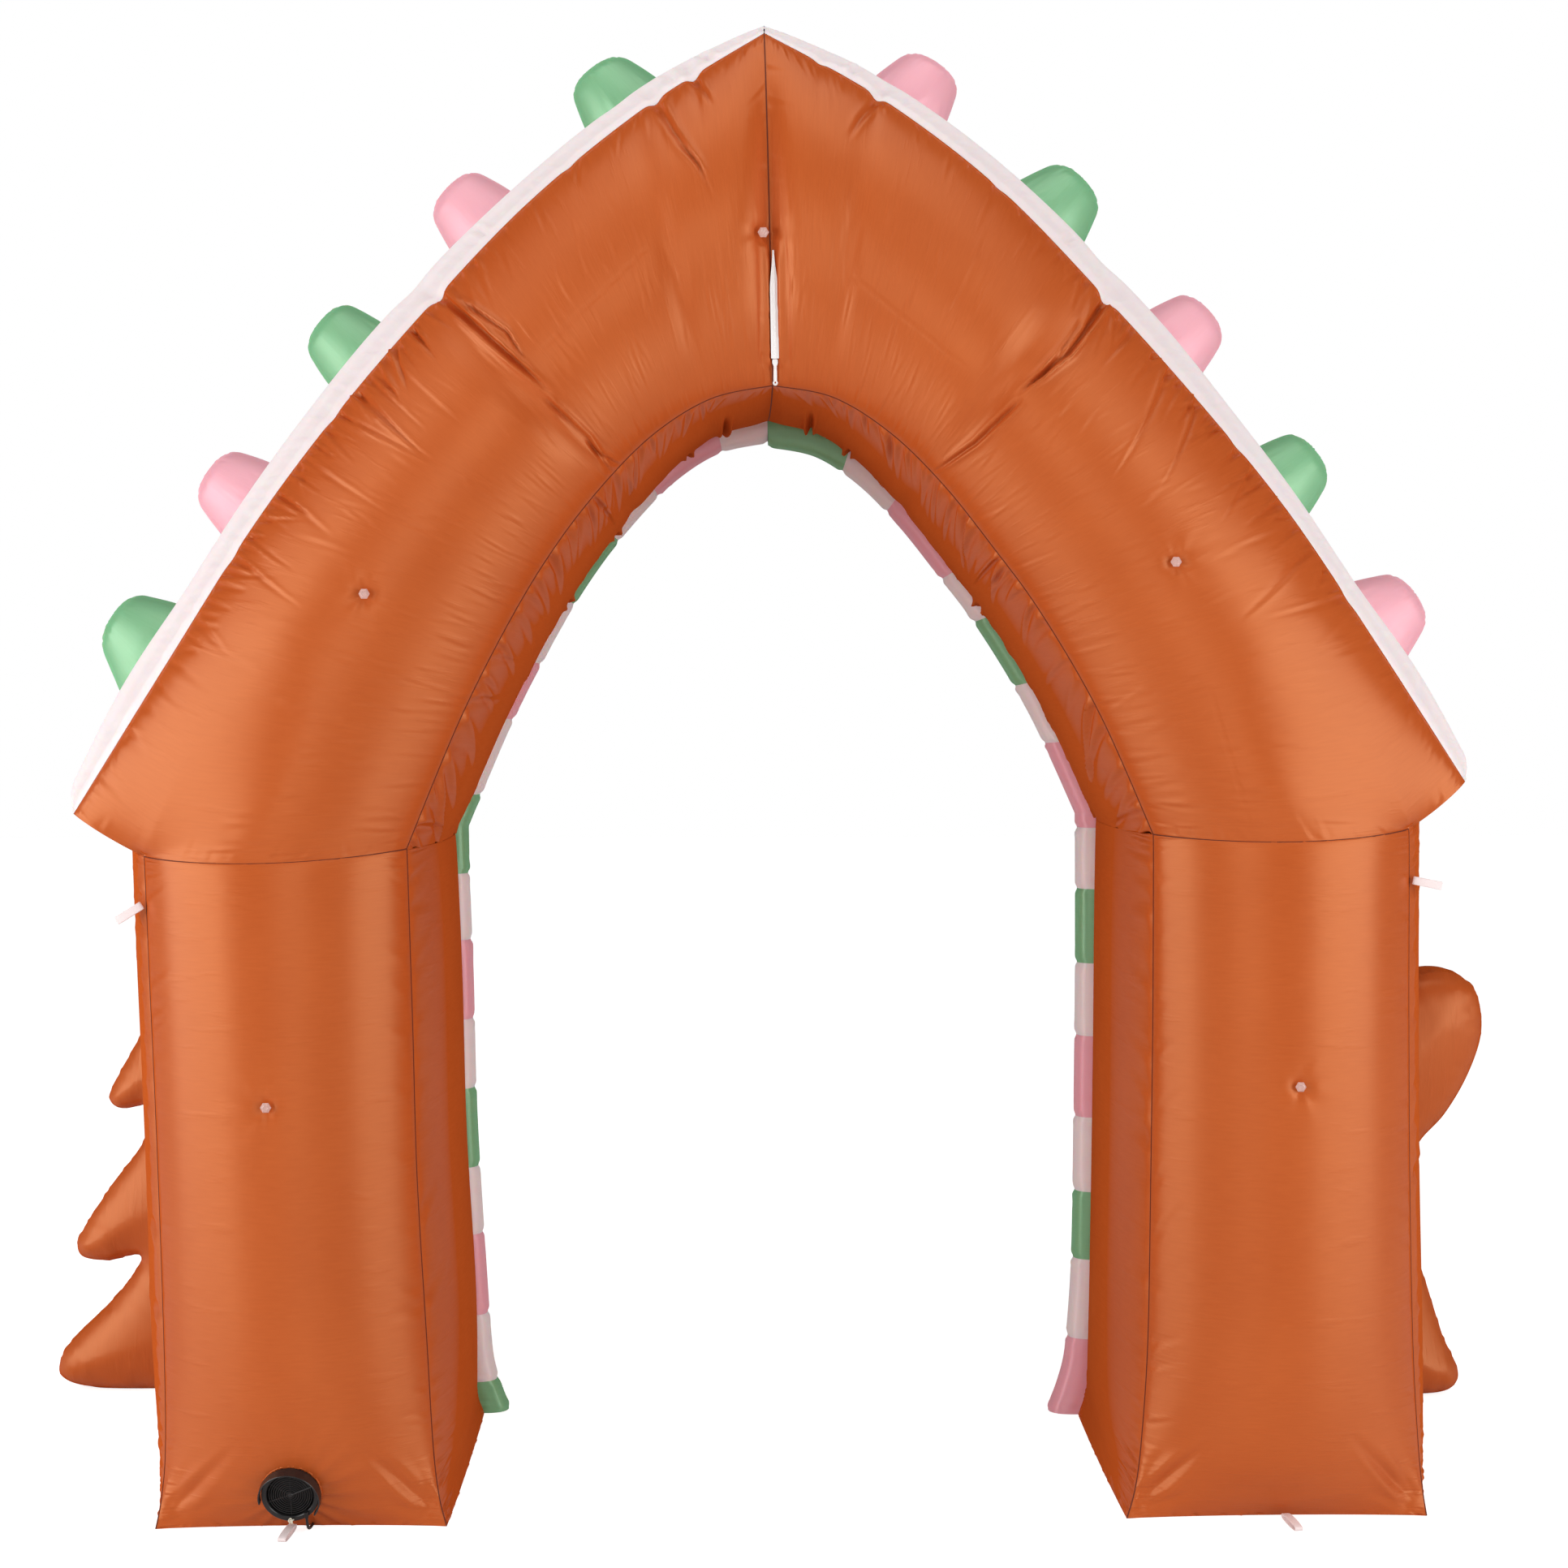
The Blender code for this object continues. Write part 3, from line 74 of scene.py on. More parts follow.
class Cloth(Enum):
    """The dyed cloths, by the record's material slot."""

    BROWN = "brown_cloth"
    PALE = "pale_cloth"
    GREEN = "green_cloth"
    PINK = "pink_cloth"


def ease(value: Array) -> Array:
    """Ease from 0 to 1, clamped at both ends."""
    value = np.clip(value, 0.0, 1.0)
    return value * value * (3.0 - 2.0 * value)


def mix(start: Array, end: Array, weight: Array) -> Array:
    """Blend two numbers or arrays."""
    return start + (end - start) * weight


def bump(value: Array, centre: float, width: float) -> Array:
    """Bell curve of height 1."""
    return np.exp(-(((value - centre) / width) ** 2))


def crown(across: Array, power: float = 0.75) -> Array:
    """Height of a blown-up panel between two seams, 0 at both and 1 between."""
    across = np.clip(across, 0.0, 1.0)
    return (1.0 - (2.0 * across - 1.0) ** 2) ** power


def spline(before: Array, start: Array, end: Array, after: Array, local: Array) -> Array:
    """Smooth curve from one point to the next, given their neighbours.

    Args:
        before: Point before the start.
        start: Point where the stretch starts.
        end: Point where it ends.
        after: Point after the end.
        local: Places on the stretch, 0 to 1.

    Returns:
        The points.
    """
    slope_a, slope_b = 0.5 * (end - before), 0.5 * (after - start)
    cubic = 2.0 * (start - end) + slope_a + slope_b
    square = -3.0 * (start - end) - 2.0 * slope_a - slope_b
    return ((cubic * local + square) * local + slope_a) * local + start


def row_at(rows: Array, along: Array) -> Array:
    """Read a table at 0 to 1 along it, on a smooth curve through its rows.

    Args:
        rows: Table with one row for each station.
        along: Places along the table.

    Returns:
        One row for each place.
    """
    last = len(rows) - 1
    place = np.clip(along, 0.0, 1.0) * last
    index = np.minimum(place.astype(int), last - 1)
    around = (rows[np.clip(index + k, 0, last)] for k in (-1, 0, 1, 2))
    return spline(*around, (place - index)[:, None])


def points_of(x: Array, y: Array, z: Array) -> Array:
    """Stack coordinates into an array of points."""
    x, y, z = np.broadcast_arrays(x, y, z)
    return np.stack((x, y, z), axis=1).astype(float)


def unit(vectors: Array) -> Array:
    """Scale the vectors in an array's rows to length 1."""
    return vectors / np.maximum(np.linalg.norm(vectors, axis=1, keepdims=True), 1e-12)


def rim(along: Array, across: Array) -> Array:
    """Distance to the nearest edge of a panel of cloth."""
    sides = np.minimum(across, float(across.max()) - across)
    return np.minimum(sides, np.minimum(along, float(along.max()) - along))


def travel(line: Array) -> Array:
    """Distance of each point along a line."""
    return np.concatenate(([0.0], np.cumsum(np.linalg.norm(np.diff(line, axis=0), axis=1))))


@dataclass(frozen=True)
class Side:
    """One half of the arch: its tables and the shapes of its panels."""

    name: str
    sign: float
    arch: Array
    creases: Tuple[Tuple[float, float, float], ...]
    leg: Array
    notch: Tuple[float, float]
    band_crown: Array
    trim_reach: float
    nicks: Tuple[Tuple[float, float], ...]
    rear_bulge: float = 0.100
    front_bulge: float = 0.060
    reveal_bulge: float = 0.045
    side_bulge: float = 0.060
    eave_bulge: float = 0.022
    seam_dip: float = 0.010
    peak_pinch: float = 0.34
    leg_seam_pinch: float = 0.13
    trim_seat: float = 0.095

    @property
    def tip(self) -> Array:
        """Eave tip in the rear seam plane, as x and z."""
        return self.arch[-1, 0:2]

    @property
    def foot(self) -> Array:
        """Inner end of the seam under the arch, as x and z."""
        return self.arch[-1, 2:4]

    @property
    def eave_width(self) -> float:
        """Length of the eave's underside."""
        return float(np.linalg.norm(np.array(self.notch) - self.tip))

    @property
    def leg_width(self) -> float:
        """Width of the leg at its top seam."""
        return float(np.linalg.norm(self.foot - np.array(self.notch)))

    @property
    def notch_at(self) -> float:
        """Place of the notch across the arch's lower edge."""
        return self.eave_width / (self.eave_width + self.leg_width)

    def bottom_line(self, across: Array) -> Array:
        """Lower edge of the arch: eave tip, notch, then the dipping leg seam.

        Args:
            across: Places across, 0 at the tip.

        Returns:
            x and z in each row.
        """
        notch = np.array(self.notch)
        at = self.notch_at
        eave = mix(self.tip, notch, (across / at)[:, None])
        place = (across - at) / (1.0 - at)
        seam = mix(notch, self.foot, place[:, None])
        seam[:, 1] -= self.seam_dip * 4.0 * place * (1.0 - place)
        return np.where((across <= at)[:, None], eave, seam)

    def pinch(self, along: Array) -> Array:
        """How full the panels stand at places along the arch.

        Args:
            along: Places from the peak, 0 to 1.

        Returns:
            Fullness.
        """
        full = 1.0 - self.peak_pinch * bump(along, 0.0, 0.035)
        full -= self.leg_seam_pinch * bump(along, 1.0, 0.04)
        for place, depth, width in self.creases:
            full -= depth * bump(along, place, width)
        return full

    def edges(self, along: Array) -> Tuple[Array, Array, Array]:
        """Outer seam, inner seam and panel width along the arch.

        Args:
            along: Places from the peak, 0 to 1.

        Returns:
            Outer points, inner points (x and z) and widths.
        """
        row = row_at(self.arch, along)
        outer, inner = row[:, 0:2].copy(), row[:, 2:4].copy()
        shift = np.where(along <= 0.0, self.sign * GAP, 0.0)
        outer[:, 0] += shift
        inner[:, 0] += shift
        lower = ease((along - LOWER_START) / LOWER_SPAN)
        width = mix(np.linalg.norm(inner - outer, axis=1), self.eave_width + self.leg_width, lower)
        return outer, inner, width

    def towards(self, along: Array) -> Array:
        """Direction into the opening along the arch.

        Args:
            along: Places from the peak, 0 to 1.

        Returns:
            Unit x and z in each row.
        """
        outer, inner, _ = self.edges(along)
        level = np.array((-self.sign, 0.0))
        return unit(mix(unit(inner - outer), level, ease((along - LOWER_START) / LOWER_SPAN)[:, None]))

    def plane(self, along: Array, across: Array) -> Array:
        """Place in the seam plane.

        Args:
            along: Places from the peak, 0 to 1.
            across: Places from the roof seam to the opening, 0 to 1.

        Returns:
            x and z in each row.
        """
        outer, inner, _ = self.edges(along)
        straight = mix(outer, inner, across[:, None])
        bend = self.bottom_line(across) - mix(self.tip, self.foot, across[:, None])
        return straight + bend * ease((along - LOWER_START) / LOWER_SPAN)[:, None]

    def near_eave(self, along: Array) -> Array:
        """Weight of the shape that the panels have at the eave and the leg."""
        return ease((along - EAVE_START) / EAVE_SPAN) ** EAVE_POWER

    def rear(self, along: Array, across: Array) -> Array:
        """Rear panel of the gable.

        Args:
            along: Places from the peak, 0 to 1.
            across: Places from the roof seam to the opening, 0 to 1.

        Returns:
            Points.
        """
        at = self.notch_at
        upper = self.rear_bulge * crown(across)
        lower = np.where(across <= at, self.eave_bulge * crown(across / at),
                         self.rear_bulge * crown((across - at) / (1.0 - at)))
        depth = self.pinch(along) * mix(upper, lower, self.near_eave(along))
        flat = self.plane(along, across)
        flat += self.towards(along) * (self.nick(along) * (1.0 - across) ** 8)[:, None]
        return points_of(flat[:, 0], REAR_Y - depth, flat[:, 1])

    def nick(self, along: Array) -> Array:
        """How far tucked cloth draws the rear roof seam in."""
        x = self.edges(along)[0][:, 0]
        return sum(reach * bump(x, place, 0.009) for place, reach in self.nicks)

    def front(self, along: Array, across: Array) -> Array:
        """Front panel of the gable.

        Args:
            along: Places from the peak, 0 to 1.
            across: Places from the roof seam to the opening, 0 to 1.

        Returns:
            Points.
        """
        at = self.notch_at
        seat = 1.0 - self.trim_seat / self.edges(along)[2]
        upper = self.front_bulge * crown(across / seat)
        lower = np.where(across <= at, self.eave_bulge * crown(across / at),
                         self.front_bulge * crown((across - at) / (seat - at)))
        depth = self.pinch(along) * mix(upper, lower, self.near_eave(along))
        depth = np.where(across >= seat, 0.0, depth)
        flat = self.plane(along, across)
        return points_of(flat[:, 0], FRONT_Y + depth, flat[:, 1])

    def reveal(self, along: Array, deep: Array) -> Array:
        """Lining of the opening under the gable.

        Args:
            along: Places from the peak, 0 to 1.
            deep: Places from the rear to the front, 0 to 1.

        Returns:
            Points.
        """
        _, inner, _ = self.edges(along)
        bulge = self.reveal_bulge * mix(0.5, 1.0, ease(along / 0.45)) * self.pinch(along)
        flat = inner + self.towards(along) * (bulge * crown(deep))[:, None]
        return points_of(flat[:, 0], mix(REAR_Y, FRONT_Y, deep), flat[:, 1])

    def roof_frame(self, along: Array) -> Tuple[Array, Array, Array]:
        """Roof seam, its outward direction and its downhill direction.

        Args:
            along: Places from the peak, 0 to 1.

        Returns:
            Points and two unit directions, all as x and z.
        """
        outer, _, _ = self.edges(along)
        ahead = row_at(self.arch, np.minimum(along + 0.004, 1.0))[:, 0:2]
        behind = row_at(self.arch, np.maximum(along - 0.004, 0.0))[:, 0:2]
        downhill = unit(ahead - behind)
        outward = np.stack((-self.sign * downhill[:, 1], self.sign * downhill[:, 0]), axis=1)
        upright = np.array((0.0, 1.0))
        outward = unit(mix(upright, outward, ease(along / 0.05)[:, None]))
        return outer, outward, downhill

    def band(self, along: Array, deep: Array) -> Array:
        """Pale roof band over the roof seam.

        Args:
            along: Places from the peak, 0 to 1.
            deep: Places from the rear to the front, 0 to 1.

        Returns:
            Points.
        """
        outer, outward, _ = self.roof_frame(along)
        full = row_at(self.band_crown, along)[:, 0]
        for place, depth, width in self.creases:
            full *= 1.0 - 0.6 * depth * bump(along, place, width)
        end = np.clip((1.0 - along) / 0.020, 0.0, 1.0)
        full *= np.sqrt(np.clip(1.0 - (1.0 - end) ** 2, 0.0, 1.0))
        drawn = self.nick(along) * (1.0 - ease(deep / 0.22))
        outer = outer + self.towards(along) * drawn[:, None]
        flat = outer + outward * (GAP + full * crown(deep, 0.62))[:, None]
        return points_of(flat[:, 0], mix(REAR_Y, FRONT_Y, deep), flat[:, 1])

    def eave(self, share: Array, deep: Array) -> Array:
        """Underside of the eave, from its tip to the notch.

        Args:
            share: Places from the tip to the notch, 0 to 1.
            deep: Places from the rear to the front, 0 to 1.

        Returns:
            Points.
        """
        ones = np.ones_like(share)
        near = self.rear(ones, share * self.notch_at)
        far = self.front(ones, share * self.notch_at)
        middle = mix(near, far, deep[:, None])
        middle[:, 2] -= 0.010 * crown(deep) * crown(share)
        return middle

    def leg_line(self, row: Array, place: Array, top: Array) -> Array:
        """Height of the leg's section across the panel."""
        seam = self.bottom_line(mix(self.notch_at, 1.0, place))[:, 1] - GAP
        return mix(row[:, 0], seam, top)

    def leg_rear(self, along: Array, place: Array) -> Array:
        """Rear panel of the leg, from the floor up.

        Args:
            along: Places from the floor, 0 to 1.
            place: Places from the outer seam to the inner one, 0 to 1.

        Returns:
            Points.
        """
        row = row_at(self.leg, along)
        top = ease((along - LEG_TOP_START) / LEG_TOP_SPAN)
        x = mix(row[:, 1], row[:, 2], place)
        y = row[:, 3] - self.rear_bulge * row[:, 5] * crown(place)
        return points_of(x, y, self.leg_line(row, place, top))

    def leg_front(self, along: Array, place: Array) -> Array:
        """Front panel of the leg, from the floor up.

        Args:
            along: Places from the floor, 0 to 1.
            place: Places from the outer seam to the inner one, 0 to 1.

        Returns:
            Points.
        """
        row = row_at(self.leg, along)
        top = ease((along - LEG_TOP_START) / LEG_TOP_SPAN)
        seat = 1.0 - self.trim_seat / mix(np.abs(row[:, 1] - row[:, 2]), self.leg_width, top)
        swell = self.front_bulge * np.maximum(row[:, 5], 0.0) * crown(place / seat)
        x = mix(row[:, 1], row[:, 2], place)
        y = row[:, 4] + np.where(place < seat, swell, 0.0)
        return points_of(x, y, self.leg_line(row, place, top))

    def leg_inner(self, along: Array, deep: Array) -> Array:
        """Panel of the leg inside the opening.

        Args:
            along: Places from the floor, 0 to 1.
            deep: Places from the rear to the front, 0 to 1.

        Returns:
            Points.
        """
        row = row_at(self.leg, along)
        top = ease((along - LEG_TOP_START) / LEG_TOP_SPAN)
        bulge = self.reveal_bulge * row[:, 6] * mix(1.0, 1.0 - self.leg_seam_pinch, top)
        x = row[:, 2] - self.sign * bulge * crown(deep)
        return points_of(x, mix(row[:, 3], row[:, 4], deep),
                         self.leg_line(row, np.ones_like(along), top))

    def leg_outer(self, along: Array, deep: Array) -> Array:
        """Panel of the leg on the arch's outer side.

        Args:
            along: Places from the floor, 0 to 1.
            deep: Places from the rear to the front, 0 to 1.

        Returns:
            Points.
        """
        row = row_at(self.leg, along)
        top = ease((along - LEG_TOP_START) / LEG_TOP_SPAN)
        swell = self.side_bulge * row[:, 6] * crown(deep, 0.65)
        slope = (self.tip[1] - self.notch[1]) / abs(self.tip[0] - self.notch[0])
        z = self.leg_line(row, np.zeros_like(along), top) + slope * swell * top
        return points_of(row[:, 1] + self.sign * swell, mix(row[:, 3], row[:, 4], deep), z)

    def base(self, place: Array, deep: Array) -> Array:
        """Flat sewn base of the leg, just above the floor.

        Args:
            place: Places from the outer seam to the inner one, 0 to 1.
            deep: Places from the rear to the front, 0 to 1.

        Returns:
            Points.
        """
        zeros = np.zeros_like(place)
        near, far = self.leg_rear(zeros, place), self.leg_front(zeros, place)
        return mix(near, far, deep[:, None])


LEFT = Side(
    "left", -1.0,
    np.array([
        # outer x, outer z, inner x, inner z
        (-0.026, 2.345, -0.013, 1.801),
        (-0.210, 2.231, -0.108, 1.781),
        (-0.390, 2.086, -0.196, 1.728),
        (-0.545, 1.927, -0.274, 1.652),
        (-0.688, 1.763, -0.351, 1.555),
        (-0.823, 1.585, -0.424, 1.438),
        (-0.960, 1.372, -0.506, 1.278),
        (-1.113, 1.129, -0.592, 1.073),
    ]),
    ((0.43, 0.10, 0.022), (0.16, 0.05, 0.016)),
    np.array([
        # height, outer x, inner x, rear y, front y, rear fullness, side fullness
        (0.000, -0.989, -0.531, -0.378, 0.157, -0.10, 0.06),
        (0.045, -0.983, -0.545, -0.362, 0.155, 0.34, 0.40),
        (0.120, -0.980, -0.556, -0.345, 0.152, 0.74, 0.78),
        (0.280, -0.983, -0.566, -0.333, 0.150, 0.98, 1.00),
        (0.550, -0.989, -0.580, -0.330, 0.150, 1.00, 1.00),
        (0.800, -0.996, -0.585, -0.330, 0.150, 0.98, 1.00),
        (0.960, -1.002, -0.590, -0.330, 0.150, 0.94, 1.00),
        (1.073, -1.004, -0.592, -0.330, 0.150, 0.87, 1.00),
    ]),
    (-1.004, 1.062),
    np.array([0.047, 0.066, 0.069, 0.070, 0.076, 0.078, 0.076, 0.074, 0.074, 0.080, 0.060])[:, None],
    1.0,
    ((-0.136, 0.009), (-0.196, 0.007), (-0.536, 0.008), (-0.330, 0.002), (-0.700, 0.002), (-0.860, 0.002)),
)
RIGHT = Side(
    "right", 1.0,
    np.array([
        (-0.026, 2.345, -0.013, 1.801),
        (0.158, 2.245, 0.082, 1.783),
        (0.340, 2.110, 0.172, 1.728),
        (0.510, 1.940, 0.255, 1.648),
        (0.664, 1.772, 0.332, 1.553),
        (0.806, 1.601, 0.412, 1.445),
        (0.952, 1.389, 0.505, 1.288),
        (1.092, 1.177, 0.593, 1.094),
    ]),
    ((0.40, 0.10, 0.022), (0.13, 0.05, 0.016)),
    np.array([
        (0.000, 1.035, 0.552, -0.372, 0.124, -0.10, 0.06),
        (0.045, 1.031, 0.568, -0.358, 0.132, 0.34, 0.40),
        (0.120, 1.027, 0.580, -0.344, 0.140, 0.74, 0.78),
        (0.280, 1.020, 0.591, -0.333, 0.147, 0.98, 1.00),
        (0.550, 1.012, 0.594, -0.330, 0.150, 1.00, 1.00),
        (0.800, 1.007, 0.595, -0.330, 0.150, 0.98, 1.00),
        (0.980, 1.004, 0.594, -0.330, 0.150, 0.94, 1.00),
        (1.094, 1.002, 0.593, -0.330, 0.150, 0.87, 1.00),
    ]),
    (1.002, 1.102),
    np.array([0.047, 0.066, 0.071, 0.073, 0.079, 0.080, 0.072, 0.066, 0.064, 0.074, 0.060])[:, None],
    1.2,
    ((0.150, 0.008), (0.512, 0.009), (0.060, 0.003), (0.340, 0.002), (0.720, 0.002), (0.900, 0.002)),
)
SIDES = (LEFT, RIGHT)


@dataclass(frozen=True)
class Puckers:
    """Pointed folds that a seam draws into the cloth beside it."""

    spacing: float
    reach: float
    depth: float
    width: float
    seed: int
    slant: float = 0.0
    strength: Tuple[Tuple[float, float], ...] = ((0.0, 1.0), (1.0, 1.0))

    def relief(self, along: Array, away: Array) -> Array:
        """Height of the folds over the smooth panel.

        Args:
            along: Distance along the seam, in metres.
            away: Distance from the seam, in metres.

        Returns:
            Heights in metres, troughs below 0.
        """
        rng = np.random.default_rng(self.seed)
        total = np.zeros_like(along)
        place = float(along.min()) - self.spacing
        last = float(along.max()) + self.spacing
        stops, strengths = zip(*self.strength)
        while place < last:
            place += self.spacing * rng.uniform(0.4, 1.6)
            strong = float(np.interp(place / last, stops, strengths))
            reach = self.reach * rng.uniform(0.35, 1.35) * strong + 0.008
            depth = self.depth * rng.uniform(0.4, 1.2) * strong
            width = self.width * rng.uniform(0.7, 1.4)
            slant = self.slant + rng.normal(0.0, 0.16)
            lean = 1.15 if rng.uniform() < 0.7 else -1.15
            wide = 6.0 * width + abs(slant) * reach
            near = np.nonzero((away < reach) & (np.abs(along - place) < wide))[0]
            if not len(near):
                continue
            t = away[near] / reach
            x = (along[near] - place - slant * away[near]) / (width * (1.2 - 0.7 * t))
            crest = np.exp(-np.abs(x) ** 1.35 / 0.55)
            trough = np.exp(-((x - lean) / 0.75) ** 2)
            rise = np.minimum(away[near] / 0.009, 1.0)
            total[near] += depth * (crest - 0.95 * trough) * rise * (1.0 - t) ** 0.8
        return total


@dataclass(frozen=True)
class Streaks:
    """Short fine wrinkles scattered over a stretched panel, all about one way."""

    count: int
    reach: float
    depth: float
    width: float
    seed: int
    low: float = 0.25
    high: float = 0.97

    def relief(self, along: Array, away: Array) -> Array:
        """Height of the wrinkles over the smooth panel.

        Args:
            along: Distance along the panel, in metres.
            away: Distance across it, in metres; the wrinkles run this way.

        Returns:
            Heights in metres.
        """
        rng = np.random.default_rng(self.seed)
        total = np.zeros_like(along)
        length, width = float(along.max()), float(away.max())
        for _ in range(self.count):
            place = rng.uniform(0.0, length)
            centre = width * mix(self.low, self.high, rng.beta(1.6, 1.2))
            reach = self.reach * rng.uniform(0.4, 1.5)
            thick = self.width * rng.uniform(0.7, 1.5)
            depth = self.depth * rng.uniform(0.3, 1.2)
            slant = rng.normal(0.0, 0.10)
            near = np.nonzero((np.abs(away - centre) < 1.6 * reach) & (np.abs(along - place) < 0.02))[0]
            y = (away[near] - centre) / reach
            x = (along[near] - place - slant * (away[near] - centre)) / thick
            total[near] += depth * np.exp(-y ** 2 * 2.0) * (np.exp(-np.abs(x) ** 1.4 * 1.6)
                                                           - 0.7 * np.exp(-((x - 1.3) / 0.8) ** 2))
        return total


@dataclass(frozen=True)
class Fold:
    """A pressed trough with a ridge on each side, along a line on a panel."""

    line: Tuple[Tuple[float, float], ...]
    depth: float
    width: float
    ridge: float = 0.8
    head: float = 0.10
    tail: float = 0.45

    def relief(self, x: Array, z: Array) -> Array:
        """Height of the fold over the smooth panel.

        Args:
            x: First coordinate, in metres.
            z: Second coordinate, in metres.

        Returns:
            Heights in metres, the trough below 0.
        """
        total = np.zeros_like(x)
        knots = np.array(self.line)
        steps = np.linalg.norm(np.diff(knots, axis=0), axis=1)
        length = float(steps.sum())
        low, high = knots.min(0) - 5.0 * self.width, knots.max(0) + 5.0 * self.width
        near = np.nonzero((x > low[0]) & (x < high[0]) & (z > low[1]) & (z < high[1]))[0]
        if not len(near):
            return total
        place = np.stack((x[near], z[near]), axis=1)
        best = np.full(len(near), 1e9)
        offset, travelled = np.zeros(len(near)), np.zeros(len(near))
        done = 0.0
        for start, end, step in zip(knots, knots[1:], steps):
            run = (end - start) / step
            side = np.array((-run[1], run[0]))
            t = np.clip((place - start) @ run, 0.0, step)
            miss = np.linalg.norm(place - start - t[:, None] * run, axis=1)
            closer = miss < best
            best = np.where(closer, miss, best)
            offset = np.where(closer, np.copysign(miss, (place - start) @ side), offset)
            travelled = np.where(closer, done + t, travelled)
            done += step
        t = travelled / length
        v = offset / (self.width * mix(1.1, 0.6, t))
        taper = ease(t / self.head) * ease((1.0 - t) / self.tail)
        shape = self.ridge * np.exp(-np.abs(v - 1.15) ** 1.5 / 0.45)
        shape += 0.55 * self.ridge * np.exp(-np.abs(v + 1.35) ** 1.5 / 0.55)
        total[near] = self.depth * taper * (shape - np.exp(-(np.abs(v) / 0.62) ** 1.6))
        return total


@dataclass(frozen=True)
class Dimple:
    """The pull of a button or a tied ring on the cloth round it."""

    x: float
    z: float
    radius: float
    depth: float
    folds: int
    fold_depth: float
    fold_reach: float
    phase: float = 0.0

    def relief(self, x: Array, z: Array) -> Array:
        """Height of the dimple over the smooth panel.

        Args:
            x: X coordinates.
            z: Z coordinates.

        Returns:
            Heights in metres.
        """
        dx, dz = x - self.x, z - self.z
        far = np.hypot(dx, dz)
        angle = np.arctan2(dz, dx) + self.phase
        wave = np.abs(np.cos(0.5 * self.folds * angle)) ** 3 - 0.35
        wave *= 0.7 + 0.5 * np.cos(angle + 2.0 * self.phase)
        share = far / self.fold_reach
        folds = self.fold_depth * wave * share * np.exp(1.0 - 1.8 * share)
        return folds - self.depth * np.exp(-(far / self.radius) ** 2)


@dataclass(frozen=True)
class Lips:
    """Raised cloth on both sides of the zip's slit."""

    low: float = 1.822
    high: float = 2.002
    apart: float = 0.0105
    height: float = 0.0042

    def relief(self, x: Array, z: Array) -> Array:
        """Height of the lips over the smooth panel.

        Args:
            x: X coordinates.
            z: Z coordinates.

        Returns:
            Heights in metres.
        """
        dx = np.abs(x - zip_x(z))
        inside = ease((z - self.low) / 0.015) * ease((self.high + 0.03 - z) / 0.06)
        ridge = np.exp(-np.abs((dx - self.apart) / 0.0042) ** 1.6)
        return self.height * inside * (ridge - 0.5 * np.exp(-((dx - 0.0195) / 0.005) ** 2))


@dataclass(frozen=True)
class Gathers:
    """Folds of one panel: those along its seams, then those at places on it."""

    fade: float
    seams: Tuple[Tuple[str, object], ...]
    spots: Sequence[object] = ()
    edge: Callable[[Array, Array], Array] = rim

    def relief(self, along: Array, across: Array, points: Array) -> Array:
        """Height of the folds over the smooth panel.

        Args:
            along: Cloth distance along the panel.
            across: Cloth distance across it.
            points: Places of the smooth panel.

        Returns:
            Heights in metres, 0 at the seams.
        """
        width, length = float(across.max()), float(along.max())
        ways = {"near": (along, across), "far": (along, width - across),
                "first": (across, along), "last": (across, length - along)}
        total = np.zeros_like(along)
        for seam, folds in self.seams:
            total += folds.relief(*ways[seam])
        for item in self.spots:
            total += item.relief(points[:, 0], points[:, 2])
        return total * ease(self.edge(along, across) / self.fade)


Surface = Callable[[Array, Array], Array]
Relief = Callable[[Array, Array, Array], Array]


